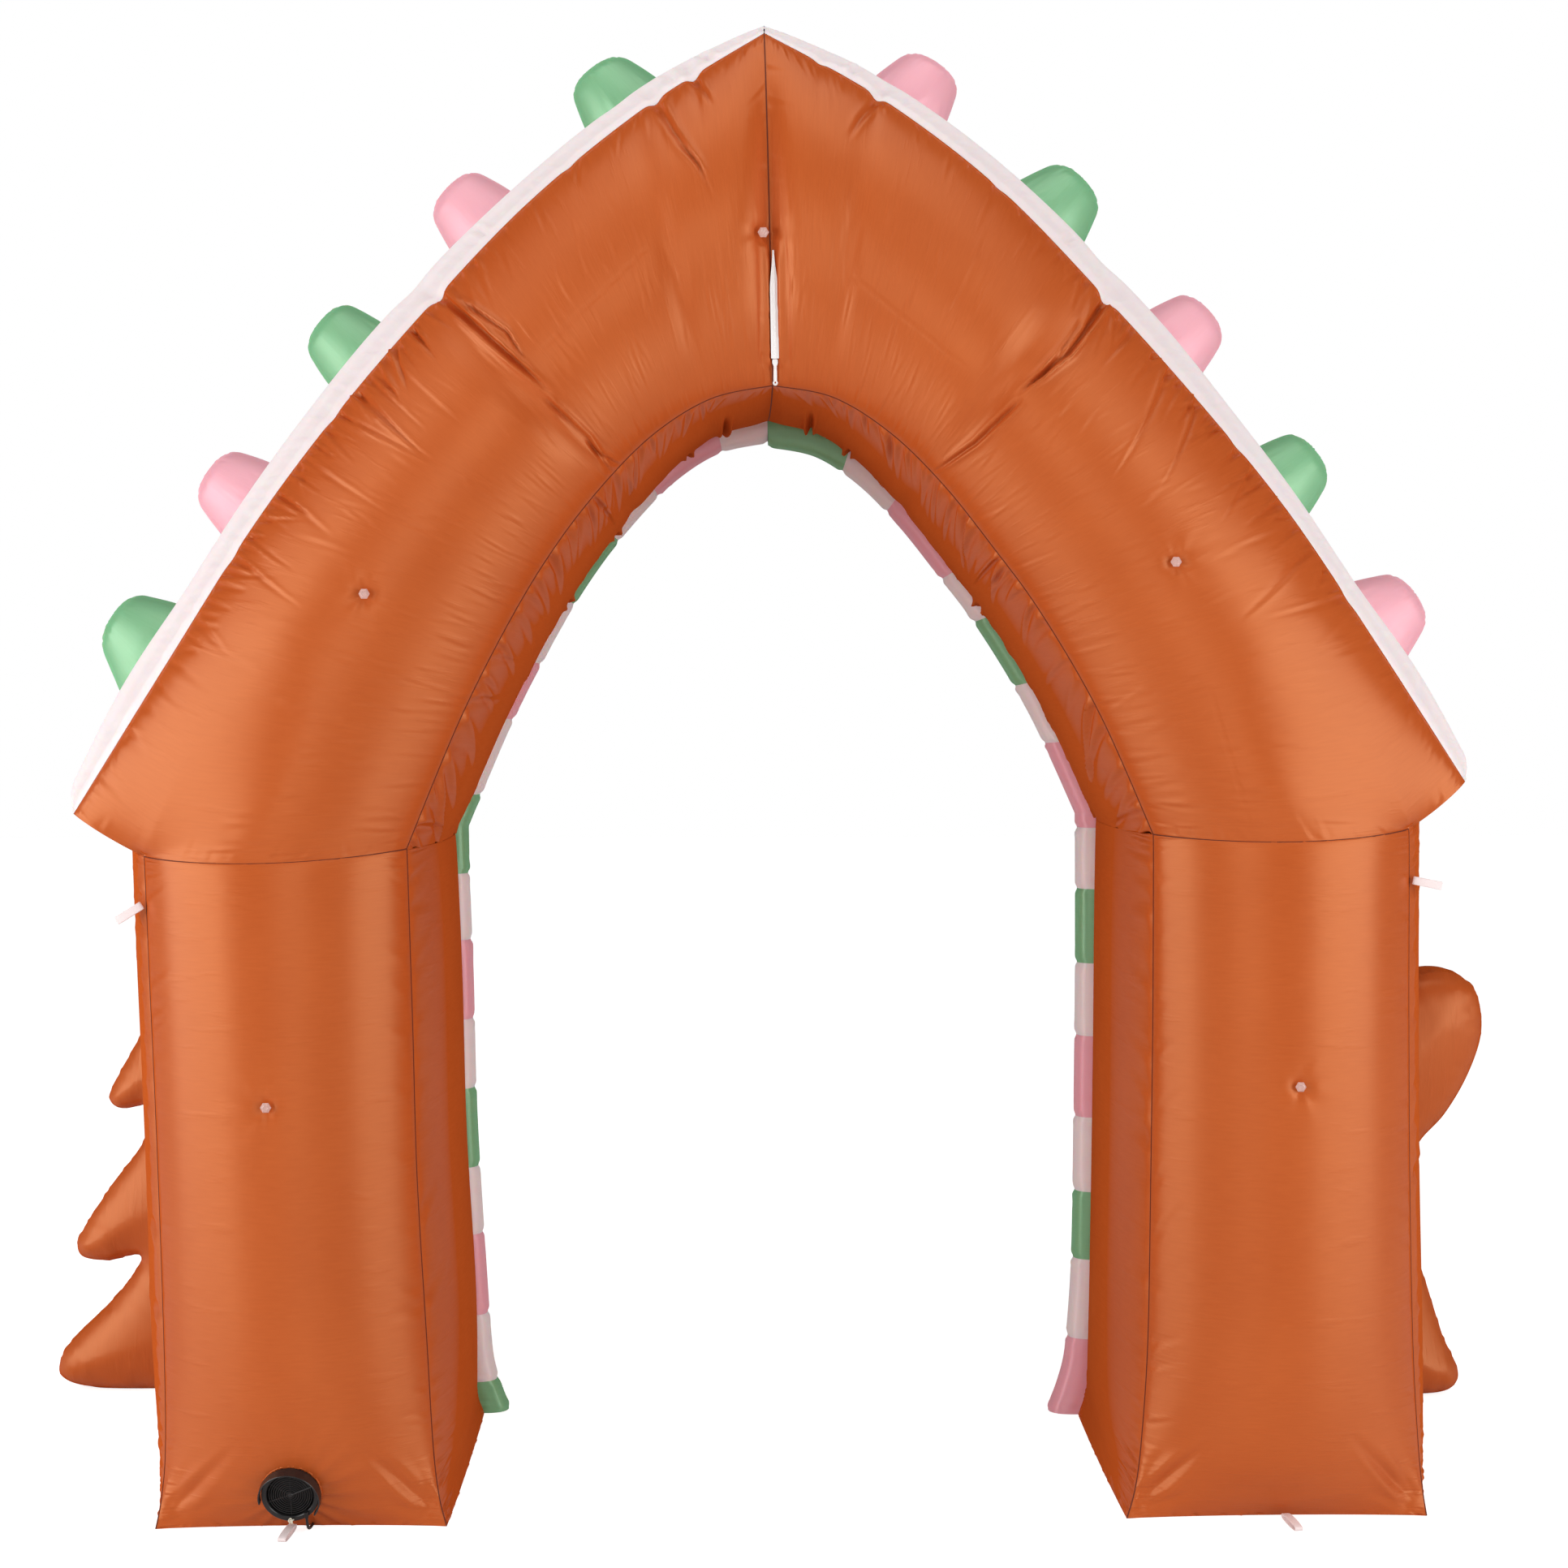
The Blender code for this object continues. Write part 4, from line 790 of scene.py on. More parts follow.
@dataclass
class Panel:
    """One cut piece of cloth as a fine skin."""

    name: str
    columns: int
    rows: int
    surface: Surface
    core: Tuple[float, float, float]
    relief: Optional[Relief] = None
    crowd_u: float = 0.0
    crowd_v: float = 0.5
    keep: Optional[Callable[[Array], Array]] = None
    closed_u: bool = False
    slack: Optional[Relief] = None
    slack_steps: int = 900

    def places(self, raw: Array, crowd: float) -> Array:
        """Crowd the grid's lines towards both seams."""
        return mix(raw, 0.5 - 0.5 * np.cos(np.pi * raw), crowd)

    def build(self) -> Piece:
        """Make the skin's mesh and object.

        Returns:
            The object, with a UV map in metres of cloth.
        """
        bm = bmesh.new()
        bmesh.ops.create_grid(bm, x_segments=self.columns, y_segments=self.rows, size=0.5)
        raw = np.array([vert.co[0:2] for vert in bm.verts]) + 0.5
        u = self.places(raw[:, 0], self.crowd_u)
        v = self.places(raw[:, 1], self.crowd_v)
        base = self.surface(u, v)
        step = 1e-3
        along = self.surface(np.minimum(u + step, 1.0), v) - self.surface(np.maximum(u - step, 0.0), v)
        across = self.surface(u, np.minimum(v + step, 1.0)) - self.surface(u, np.maximum(v - step, 0.0))
        normal = unit(np.cross(along, across))
        facing = float(np.sum(normal * (base - np.array(self.core))))
        if facing < 0.0:
            normal = -normal
            bmesh.ops.reverse_faces(bm, faces=bm.faces[:])
        length_u = self.line_length(np.linspace(0, 1, 200), np.full(200, 0.5))
        length_v = self.line_length(np.full(200, 0.5), np.linspace(0, 1, 200))
        cloth = np.stack((u * length_u, v * length_v), axis=1)
        if self.slack:
            base[:, 1] = self.relaxed(raw, base[:, 1], self.slack(cloth[:, 0], cloth[:, 1], base))
        if self.relief:
            base = base + normal * self.relief(cloth[:, 0], cloth[:, 1], base)[:, None]
        layer = bm.loops.layers.uv.new("cloth")
        for face in bm.faces:
            for loop in face.loops:
                loop[layer].uv = cloth[loop.vert.index]
        for vert, point in zip(bm.verts, base):
            vert.co = point
        if self.keep is not None:
            kept = self.keep(base)
            dropped = [vert for vert, stay in zip(bm.verts, kept) if not stay]
            bmesh.ops.delete(bm, geom=dropped, context="VERTS")
        if self.closed_u:
            bmesh.ops.remove_doubles(bm, verts=bm.verts[:], dist=1e-5)
        return finish_mesh(self.name, bm)

    def relaxed(self, raw: Array, depth: Array, weight: Array) -> Array:
        """Even out the skin's depth where the cloth hangs slack.

        Args:
            raw: Even places of the vertices, 0 to 1.
            depth: Their Y coordinates.
            weight: How slack the cloth is at each, 0 to 1.

        Returns:
            The new Y coordinates.
        """
        order = np.lexsort(np.round(raw, 5).T)
        grid = depth[order].reshape(self.rows + 1, self.columns + 1)
        loose = weight[order].reshape(grid.shape)[1:-1, 1:-1]
        inner = grid[1:-1, 1:-1]
        for _ in range(self.slack_steps):
            mean = 0.25 * (grid[:-2, 1:-1] + grid[2:, 1:-1] + grid[1:-1, :-2] + grid[1:-1, 2:])
            inner += loose * (mean - inner)
        result = depth.copy()
        result[order] = grid.ravel()
        return result

    def line_length(self, u: Array, v: Array) -> float:
        """Length of a line drawn on the smooth panel."""
        return float(np.linalg.norm(np.diff(self.surface(u, v), axis=0), axis=1).sum())


def finish_mesh(name: str, bm: Mesh, smooth: bool = True) -> Piece:
    """Turn a bmesh into an object at the origin.

    Args:
        name: The object's name.
        bm: The finished bmesh, which is freed.
        smooth: Whether its faces are shaded smooth.

    Returns:
        The linked object.
    """
    mesh = bpy.data.meshes.new(name)
    bm.to_mesh(mesh)
    bm.free()
    if smooth:
        mesh.shade_smooth()
    obj = bpy.data.objects.new(name, mesh)
    bpy.context.scene.collection.objects.link(obj)
    return obj


@dataclass(frozen=True)
class Satin:
    """Finish of a coated polyester cloth."""

    name: str
    colour: Tuple[float, float, float]
    shade: Tuple[float, float, float]
    roughness: float = 0.42
    lustre: float = 0.25
    streak: float = 0.35
    glow: float = 0.0
    gleam: Tuple[float, float, float] = (1.0, 0.67, 0.36)

    def material(self) -> bpy.types.Material:
        """Build the cloth's material.

        Returns:
            The material.
        """
        material, tree, shader = start_material(self.name)
        group = tree.nodes.new("ShaderNodeGroup")
        group.node_tree = cloth_group()
        plug_in(tree, group, {"Light": (*self.colour, 1.0), "Dark": (*self.shade, 1.0),
                              "Streak": self.streak})
        grain = add_node(tree, "Tangent", {}, direction_type="UV_MAP", uv_map="cloth")
        slope = add_node(tree, "LayerWeight", {})
        shine = add_node(tree, "MapRange", {
            "Value": slope.outputs["Facing"], "From Min": 0.42, "From Max": 0.74,
            "To Min": 0.9, "To Max": 0.0,
        }, interpolation_type="SMOOTHSTEP")
        plug_in(tree, shader, {
            "Base Color": group.outputs["Colour"], "Normal": group.outputs["Normal"],
            "Tangent": grain.outputs["Tangent"], "Anisotropic": 0.75,
            "Specular IOR Level": shine.outputs["Result"], "Specular Tint": (*self.gleam, 1.0),
            "Roughness": self.roughness, "Metallic": self.lustre,
            "Subsurface Weight": self.glow, "Subsurface Scale": 0.03,
        })
        return material


def start_material(name: str) -> Tuple[bpy.types.Material, Nodes, bpy.types.Node]:
    """Make a material that has only its shader yet.

    Args:
        name: Its name.

    Returns:
        The material, its node tree and its shader.
    """
    material = bpy.data.materials.new(name)
    material.use_nodes = True
    return material, material.node_tree, material.node_tree.nodes["Principled BSDF"]


def plug_in(tree: Nodes, node: bpy.types.Node, sockets: Dict[object, object]) -> None:
    """Give a node's inputs their values and links.

    Args:
        tree: The node tree.
        node: The node.
        sockets: For each input, a value or the output that leads to it.
    """
    for name, value in sockets.items():
        if isinstance(value, bpy.types.NodeSocket):
            tree.links.new(value, node.inputs[name])
        else:
            node.inputs[name].default_value = value


def add_node(tree: Nodes, kind: str, sockets: Dict[object, object],
             **settings: object) -> bpy.types.Node:
    """Add a shader node.

    Args:
        tree: The node tree.
        kind: The node's kind.
        sockets: For each input, a value or the output that leads to it.
        **settings: The node's own settings.

    Returns:
        The node.
    """
    node = tree.nodes.new(f"ShaderNode{kind}")
    for name, value in settings.items():
        setattr(node, name, value)
    plug_in(tree, node, sockets)
    return node


def cloth_group() -> Nodes:
    """Shared cloth effect: dye variation, fine streaks and weave.

    Returns:
        The node group, which gives a colour and a normal.
    """
    found = bpy.data.node_groups.get("satin_cloth")
    if found:
        return found
    tree = bpy.data.node_groups.new("satin_cloth", "ShaderNodeTree")
    for name, way, kind in (("Light", "INPUT", "Color"), ("Dark", "INPUT", "Color"),
                            ("Streak", "INPUT", "Float"), ("Colour", "OUTPUT", "Color"),
                            ("Normal", "OUTPUT", "Vector")):
        tree.interface.new_socket(name=name, in_out=way, socket_type=f"NodeSocket{kind}")
    inside = tree.nodes.new("NodeGroupInput").outputs
    outside = tree.nodes.new("NodeGroupOutput")
    streaks = stretched_noise(tree, (70.0, 9.0, 1.0), 3.0)
    threads = stretched_noise(tree, (420.0, 24.0, 1.0), 2.0)
    patches = stretched_noise(tree, (5.0, 5.0, 1.0), 3.0)
    weave = stretched_noise(tree, (1500.0, 1500.0, 1.0), 0.0)
    half = add_node(tree, "Math", {0: patches, 1: 0.9, 2: -0.25}, operation="MULTIPLY_ADD")
    dye = add_node(tree, "Math", {0: threads, 1: 0.6, 2: half.outputs["Value"]},
                   operation="MULTIPLY_ADD")
    blend = add_node(tree, "Mix", {}, data_type="RGBA")
    plug_in(tree, blend, {"Factor": dye.outputs["Value"], 6: inside["Dark"], 7: inside["Light"]})
    sparse = add_node(tree, "MapRange", {"Value": streaks, "From Min": 0.52, "From Max": 0.74},
                      interpolation_type="SMOOTHSTEP")
    wrinkle = add_node(tree, "Bump", {"Strength": inside["Streak"], "Distance": 0.0016,
                                      "Height": sparse.outputs["Result"]})
    cloth = add_node(tree, "Bump", {"Strength": 0.12, "Distance": 0.0003, "Height": weave,
                                    "Normal": wrinkle.outputs["Normal"]})
    plug_in(tree, outside, {"Colour": blend.outputs[2], "Normal": cloth.outputs["Normal"]})
    return tree


def stretched_noise(tree: Nodes, scale: Tuple[float, float, float],
                    detail: float) -> bpy.types.NodeSocket:
    """Add a noise over the cloth's own UV map, stretched along it.

    Args:
        tree: The node tree.
        scale: Repeats for each metre of cloth.
        detail: Detail of the noise.

    Returns:
        The noise's output.
    """
    place = add_node(tree, "UVMap", {}, uv_map="cloth")
    stretch = add_node(tree, "Mapping", {"Vector": place.outputs["UV"], "Scale": scale})
    noise = add_node(tree, "TexNoise", {"Vector": stretch.outputs["Vector"], "Scale": 1.0,
                                        "Detail": detail})
    return noise.outputs["Fac"]


@dataclass(frozen=True)
class Plain:
    """Finish of a small plastic, metal or webbing part."""

    name: str
    colour: Tuple[float, float, float]
    roughness: float = 0.4
    transmission: float = 0.0
    grain: float = 0.0

    def material(self) -> bpy.types.Material:
        """Build the material.

        Returns:
            The material.
        """
        material, tree, shader = start_material(self.name)
        place = add_node(tree, "TexCoord", {})
        noise = add_node(tree, "TexNoise", {"Vector": place.outputs["Object"], "Scale": 1400.0})
        relief = add_node(tree, "Bump", {"Strength": 0.1 + self.grain, "Distance": 0.0002,
                                         "Height": noise.outputs["Fac"]})
        plug_in(tree, shader, {"Base Color": (*self.colour, 1.0), "Roughness": self.roughness,
                               "Transmission Weight": self.transmission,
                               "Normal": relief.outputs["Normal"]})
        return material


SATINS = {
    Cloth.BROWN: Satin("brown_satin", (0.58, 0.113, 0.022), (0.48, 0.078, 0.012), 0.37, 0.04, 0.20),
    Cloth.PALE: Satin("pale_satin", (0.92, 0.81, 0.81), (0.88, 0.76, 0.76), 0.45, 0.04, 0.12, 0.3,
                      (1.0, 0.95, 0.95)),
    Cloth.GREEN: Satin("green_satin", (0.24, 0.54, 0.29), (0.19, 0.46, 0.23), 0.36, 0.06, 0.12, 0.2,
                       (0.9, 1.0, 0.85)),
    Cloth.PINK: Satin("pink_satin", (0.92, 0.45, 0.52), (0.88, 0.40, 0.47), 0.42, 0.06, 0.12, 0.2,
                      (1.0, 0.85, 0.88)),
}
PLAINS = {
    "webbing": Plain("webbing_weave", (0.92, 0.79, 0.78), 0.65, 0.0, 0.15),
    # painted shade: near-black brown on thin tubes along the seams, standing in for the shade in their
    # creases
    "seam_thread": Plain("seam_thread", (0.13, 0.020, 0.006), 0.8),
    "black_plastic": Plain("black_moulded", (0.015, 0.014, 0.014), 0.32),
    "white_zip": Plain("white_tape", (0.95, 0.94, 0.93), 0.5, 0.0, 0.2),
    "clear_plastic": Plain("clear_button", (0.90, 0.62, 0.56), 0.18, 0.45),
    "string": Plain("cotton_string", (0.80, 0.74, 0.60), 0.8, 0.0, 0.8),
}


@dataclass
class Wardrobe:
    """Makes each material once and hands it out."""

    made: Dict[str, bpy.types.Material] = field(default_factory=dict)

    def cloth(self, kind: Cloth) -> bpy.types.Material:
        """Material of one cloth."""
        if kind.value not in self.made:
            self.made[kind.value] = SATINS[kind].material()
        return self.made[kind.value]

    def plain(self, kind: str) -> bpy.types.Material:
        """Material of one small part."""
        if kind not in self.made:
            self.made[kind] = PLAINS[kind].material()
        return self.made[kind]

    def dress(self, obj: Piece, material: bpy.types.Material, slot: str,
              nodes: Sequence[str] = ()) -> Piece:
        """Give a piece its material and its body, and hide the CAD nodes that it stands for.

        Args:
            obj: The piece.
            material: Its material.
            slot: The record's slot; not used.
            nodes: CAD nodes that it replaces.

        Returns:
            The piece.
        """
        obj.data.materials.append(material)
        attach(obj, "root")
        if nodes:
            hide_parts(*nodes)
        return obj

    def part(self, obj: Piece, slot: str, *nodes: str) -> Piece:
        """Dress a small part in the plain finish of its slot."""
        return self.dress(obj, self.plain(slot), slot, nodes)

    def skins(self, pieces: Pieces, cloths: Sequence[Cloth], node: str,
              slot: str = "") -> Pieces:
        """Dress the panels of a blown-up chamber; the first stands for its node.

        Args:
            pieces: The panels.
            cloths: Their cloths, repeated in turn.
            node: The CAD node of the chamber.
            slot: The record's slot, where it isn't the cloth's own.

        Returns:
            The panels.
        """
        for index, piece in enumerate(pieces):
            cloth = cloths[index % len(cloths)]
            self.dress(piece, self.cloth(cloth), slot or cloth.value, [] if index else [node])
        return pieces


@dataclass
class Gable:
    """Brown chamber of one roof half: rear, front, lining and eave panels."""

    side: Side
    rear_columns: int = 500
    rear_rows: int = 144
    lining_columns: int = 400
    lining_rows: int = 60

    def build(self) -> Pieces:
        """Build the gable's panels.

        Returns:
            The panel objects.
        """
        side = self.side
        core = (0.62 * side.sign, -0.09, 1.62)
        seed = 11 if side.sign < 0 else 29
        rear_folds = Gathers(0.007, (
            ("near", Puckers(0.016, 0.062, 0.0058, 0.0050, seed, 0.10, ROOF_STRENGTH)),
            ("near", Puckers(0.040, 0.150, 0.0042, 0.0058, seed + 1, 0.14, ROOF_STRENGTH)),
            ("far", Puckers(0.028, 0.060, 0.0007, 0.0055, seed + 2)),
            ("first", Puckers(0.040, 0.045, 0.0010, 0.0060, seed + 3)),
            ("last", Puckers(0.034, 0.035, 0.0010, 0.0060, seed + 4)),
            ("near", Streaks(240, 0.040, 0.0007, 0.0042, seed + 5)),
        ), REAR_FOLDS[side.name] + DIMPLES + [Lips()])
        seed = 71 if side.sign < 0 else 83
        front_folds = Gathers(0.012, (
            ("near", Puckers(0.045, 0.090, 0.0030, 0.010, seed, 0.1, ROOF_STRENGTH)),
        ), edge=np.minimum)
        rear = Panel(f"gable_rear_{side.name}", self.rear_columns, self.rear_rows,
                     side.rear, core, rear_folds.relief, crowd_u=0.2, slack=self.eave_slack)
        lining = Panel(f"gable_lining_{side.name}", self.lining_columns, self.lining_rows,
                       side.reveal, core, self.lining_relief)
        front = Panel(f"gable_front_{side.name}", 160, 60, side.front, core, front_folds.relief)
        eave = Panel(f"gable_eave_{side.name}", 20, 50, side.eave, core)
        return [panel.build() for panel in (rear, lining, front, eave)]

    def eave_slack(self, along: Array, across: Array, points: Array) -> Array:
        """Where the rear panel hangs slack above the notch under the eave.

        Args:
            along: Cloth distance from the centre seam.
            across: Cloth distance from the roof seam.
            points: Places of the smooth panel.

        Returns:
            Weights from 0 to 1.
        """
        notch, end = np.array(NOTCH_LINE[self.side.name])
        run = end - notch
        place = points[:, [0, 2]] - notch
        share = np.clip(place @ run / (run @ run), 0.0, 1.0)
        far = np.linalg.norm(place - share[:, None] * run, axis=1)
        edge = np.minimum(across, float(along.max()) - along)
        return 0.95 * ease(1.0 - far / 0.16) * ease((edge - 0.004) / 0.030)

    def lining_relief(self, along: Array, deep: Array, points: Array) -> Array:
        """Folds of the opening's lining.

        Args:
            along: Cloth distance from the centre seam.
            deep: Cloth distance from the rear seam.
            points: Places of the smooth panel.

        Returns:
            Heights in metres.
        """
        width = float(deep.max())
        seed = 41 if self.side.sign < 0 else 57
        total = Puckers(0.020, 0.150, 0.0056, 0.0070, seed, 0.35, LINING_STRENGTH).relief(along, deep)
        total += Puckers(0.020, 0.150, 0.0060, 0.0075, seed + 1, -0.35, LINING_STRENGTH).relief(
            along, width - deep)
        for at, share in LINING_TUCKS[self.side.name]:
            line = ((at - 0.006, (1.0 - share) * width), (at, (1.0 - 0.5 * share) * width),
                    (at + 0.010, width - 0.002))
            total += Fold(line, 0.013, 0.0085, 0.8, 0.40, 0.03).relief(along, deep)
        edge = np.minimum(np.minimum(deep, width - deep), along)
        return total * ease(edge / 0.006)

    def dress(self, wardrobe: Wardrobe) -> Pieces:
        """Build the gable and give it its cloth."""
        return wardrobe.skins(self.build(), [Cloth.BROWN], f"gable_{self.side.name}")


ROOF_STRENGTH = ((0.0, 0.25), (0.30, 0.40), (0.40, 0.85), (0.50, 1.25), (0.72, 1.05), (0.84, 0.45),
                 (1.0, 0.20))
NOTCH_LINE = {
    # from the notch under the eave up into the panel
    "left": ((-1.004, 1.073), (-0.870, 1.300)),
    "right": ((0.968, 1.110), (0.860, 1.300)),
}
LINING_STRENGTH = ((0.0, 0.15), (0.15, 0.5), (0.4, 0.9), (1.0, 1.2))
LINING_TUCKS = {
    # place along the seam, share of the lining's depth that the tuck crosses
    "left": ((0.112, 0.80), (0.215, 0.40), (0.455, 0.45), (0.610, 0.45)),
    "right": ((0.100, 0.85), (0.205, 0.50), (0.620, 0.45)),
}
REAR_FOLDS: Dict[str, List[object]] = {
    "left": [
        Fold(((-0.532, 1.941), (-0.452, 1.866), (-0.345, 1.770)), 0.0120, 0.0078, 0.9, 0.05, 0.35),
        Fold(((-0.500, 1.925), (-0.420, 1.870), (-0.385, 1.815)), 0.0060, 0.0055, 0.9, 0.15, 0.40),
        Fold(((-0.372, 1.778), (-0.300, 1.712), (-0.258, 1.652)), 0.0065, 0.0062, 0.9, 0.20, 0.40),
        Fold(((-0.345, 1.745), (-0.285, 1.690), (-0.232, 1.665)), 0.0040, 0.0060, 0.9, 0.25, 0.40),
        Fold(((-0.194, 2.236), (-0.166, 2.180), (-0.104, 2.088)), 0.0060, 0.0080, 0.8, 0.06, 0.50),
        Fold(((-0.170, 2.170), (-0.130, 2.128), (-0.100, 2.060)), 0.0030, 0.0055, 0.8, 0.20, 0.50),
        Fold(((-0.136, 2.274), (-0.116, 2.240), (-0.104, 2.215)), 0.0045, 0.0070, 0.8, 0.10, 0.50),
        Fold(((-0.372, 1.835), (-0.180, 2.020)), 0.0009, 0.0034, 0.2, 0.10, 0.20),
    ],
    "right": [
        Fold(((0.510, 1.934), (0.440, 1.842), (0.352, 1.770)), 0.0110, 0.0074, 0.9, 0.05, 0.35),
        Fold(((0.470, 1.900), (0.400, 1.806), (0.360, 1.780)), 0.0060, 0.0055, 0.9, 0.15, 0.40),
        Fold(((0.372, 1.775), (0.300, 1.705), (0.226, 1.655)), 0.0070, 0.0062, 0.9, 0.20, 0.40),
        Fold(((0.150, 2.240), (0.120, 2.200), (0.098, 2.160)), 0.0050, 0.0080, 0.8, 0.10, 0.50),
        Fold(((0.100, 1.960), (0.290, 1.810)), 0.0009, 0.0034, 0.2, 0.10, 0.20),
        Fold(((0.660, 1.330), (0.735, 1.090)), 0.0009, 0.0034, 0.2, 0.10, 0.20),
    ],
}
DIMPLES: List[object] = [
    Dimple(-0.029, 2.022, 0.015, 0.006, 6, 0.0030, 0.024, 0.4),
    Dimple(-0.638, 1.471, 0.015, 0.006, 6, 0.0030, 0.026, 1.1),
    Dimple(0.605, 1.521, 0.015, 0.006, 6, 0.0030, 0.026, 2.0),
    Dimple(-0.797, 0.681, 0.015, 0.006, 6, 0.0030, 0.026, 0.9),
    Dimple(0.808, 0.706, 0.015, 0.006, 6, 0.0030, 0.026, 0.2),
]


def zip_x(z: Array) -> Array:
    """Place of the zip across the arch at a height."""
    row = LEFT.arch[0]
    return mix(row[2], row[0], (z - row[3]) / (row[1] - row[3])) + 0.004


@dataclass
class RoofBand:
    """Pale band along one roof slope."""

    side: Side
    columns: int = 380
    rows: int = 56

    def relief(self, along: Array, deep: Array, points: Array) -> Array:
        """Folds of the band.

        Args:
            along: Cloth distance from the peak.
            deep: Cloth distance from the rear seam.
            points: Places of the smooth panel.

        Returns:
            Heights in metres.
        """
        width = float(deep.max())
        seed = 101 if self.side.sign < 0 else 131
        total = Puckers(0.026, 0.075, 0.0026, 0.0080, seed, 0.45).relief(along, deep)
        total += Puckers(0.026, 0.075, 0.0026, 0.0080, seed + 1, 0.45).relief(along, width - deep)
        for at in BAND_TUCKS[self.side.name]:
            tuck = Fold(((at, 0.004), (at + 0.006, 0.10)), 0.0065, 0.0100, 0.7, 0.02, 0.8)
            total += tuck.relief(along, deep)
        edge = np.minimum(deep, width - deep)
        hem = 0.0016 * bump(edge, 0.0045, 0.0028)
        return hem + total * ease((edge - 0.004) / 0.010)

    def dress(self, wardrobe: Wardrobe) -> Pieces:
        """Build the band and give it its cloth.

        Args:
            wardrobe: Source of materials.

        Returns:
            The dressed pieces.
        """
        side = self.side
        skin = Panel(f"roof_band_skin_{side.name}", self.columns, self.rows, side.band,
                     (0.60 * side.sign, -0.09, 1.60), self.relief).build()
        return wardrobe.skins([skin], [Cloth.PALE], f"roof_band_{side.name}")


BAND_TUCKS = {"left": (0.125, 0.190, 0.600), "right": (0.185, 0.640)}


@dataclass
class Leg:
    """Brown leg: rear, front, inner, outer and base panels."""

    side: Side
    rear_columns: int = 250
    rear_rows: int = 110

    def dress(self, wardrobe: Wardrobe) -> Pieces:
        """Build the leg and give it its cloth.

        Args:
            wardrobe: Source of materials.

        Returns:
            The dressed pieces.
        """
        side, name = self.side, self.side.name
        core = (0.79 * side.sign, -0.09, 0.5)
        keep = clear_of_blower if side is LEFT else None
        seed = 151 if side.sign < 0 else 171
        rear_folds = Gathers(0.008, (
            ("near", Puckers(0.042, 0.040, 0.0018, 0.0060, seed, 0.3)),
            ("far", Puckers(0.042, 0.040, 0.0018, 0.0060, seed + 1, 0.3)),
            ("first", Puckers(0.030, 0.050, 0.0024, 0.0070, seed + 2)),
            ("last", Puckers(0.030, 0.040, 0.0012, 0.0060, seed + 3)),
        ), LEG_FOLDS[name] + DIMPLES + [BLOWER_GATHER])
        seed += 40
        side_folds = Gathers(0.010, (
            ("near", Puckers(0.032, 0.080, 0.0032, 0.0070, seed, 0.25)),
            ("far", Puckers(0.032, 0.080, 0.0032, 0.0070, seed + 1, 0.25)),
            ("first", Puckers(0.030, 0.090, 0.0036, 0.0090, seed + 2)),
        ))
        panels = [
            Panel(f"leg_rear_{name}", self.rear_columns, self.rear_rows, side.leg_rear, core,
                  rear_folds.relief, keep=keep),
            Panel(f"leg_inner_{name}", 150, 50, side.leg_inner, core, side_folds.relief),
            Panel(f"leg_outer_{name}", 150, 50, side.leg_outer, core, side_folds.relief),
            Panel(f"leg_front_{name}", 50, 30, side.leg_front, core),
            Panel(f"leg_base_{name}", 24, 24, side.base, (0.79 * side.sign, -0.09, 0.1)),
        ]
        return wardrobe.skins([panel.build() for panel in panels], [Cloth.BROWN], f"leg_{name}")


def corner_folds(x: float, z: float, toward: float, depth: float) -> List[object]:
    """Folds that spread up from a corner of a leg's base.

    Args:
        x: X of the corner.
        z: Height of the corner.
        toward: Direction to the middle of the leg, 1 or -1.
        depth: Depth of the deepest fold.

    Returns:
        The folds.
    """
    folds: List[object] = []
    for degrees, reach, share in ((24, 0.10, 0.35), (47, 0.19, 1.0), (63, 0.12, 0.45)):
        run = np.array((toward * math.cos(math.radians(degrees)), math.sin(math.radians(degrees))))
        start = np.array((x, z)) + 0.018 * run
        end = start + reach * run
        folds.append(Fold((tuple(start), tuple(end)), depth * share, 0.016, 0.5, 0.2, 0.8))
    return folds


LEG_FOLDS: Dict[str, List[object]] = {
    "left": corner_folds(-0.985, 0.004, 1.0, 0.0050) + corner_folds(-0.535, 0.004, -1.0, 0.0070),
    "right": corner_folds(0.556, 0.004, 1.0, 0.0090) + corner_folds(1.032, 0.004, -1.0, 0.0070),
}
BLOWER_CENTRE = np.array((-0.770, -0.402, 0.068))
BLOWER_TILT = math.radians(14)
BLOWER_GATHER = Dimple(-0.770, 0.062, 0.052, 0.001, 19, 0.0038, 0.090, 0.3)


def blower_axes() -> Array:
    """Axes of the blower's face.

    Returns:
        Rows: level axis, upward axis, and the axis out of the leg.
    """
    out = np.array((0.0, -math.cos(BLOWER_TILT), -math.sin(BLOWER_TILT)))
    level = np.array((1.0, 0.0, 0.0))
    return np.stack((level, np.cross(out, level), out))


def clear_of_blower(points: Array) -> Array:
    """Find the cloth that isn't inside the blower's cup."""
    local = (points - BLOWER_CENTRE) @ blower_axes().T
    return np.hypot(local[:, 0], local[:, 1]) > 0.0425


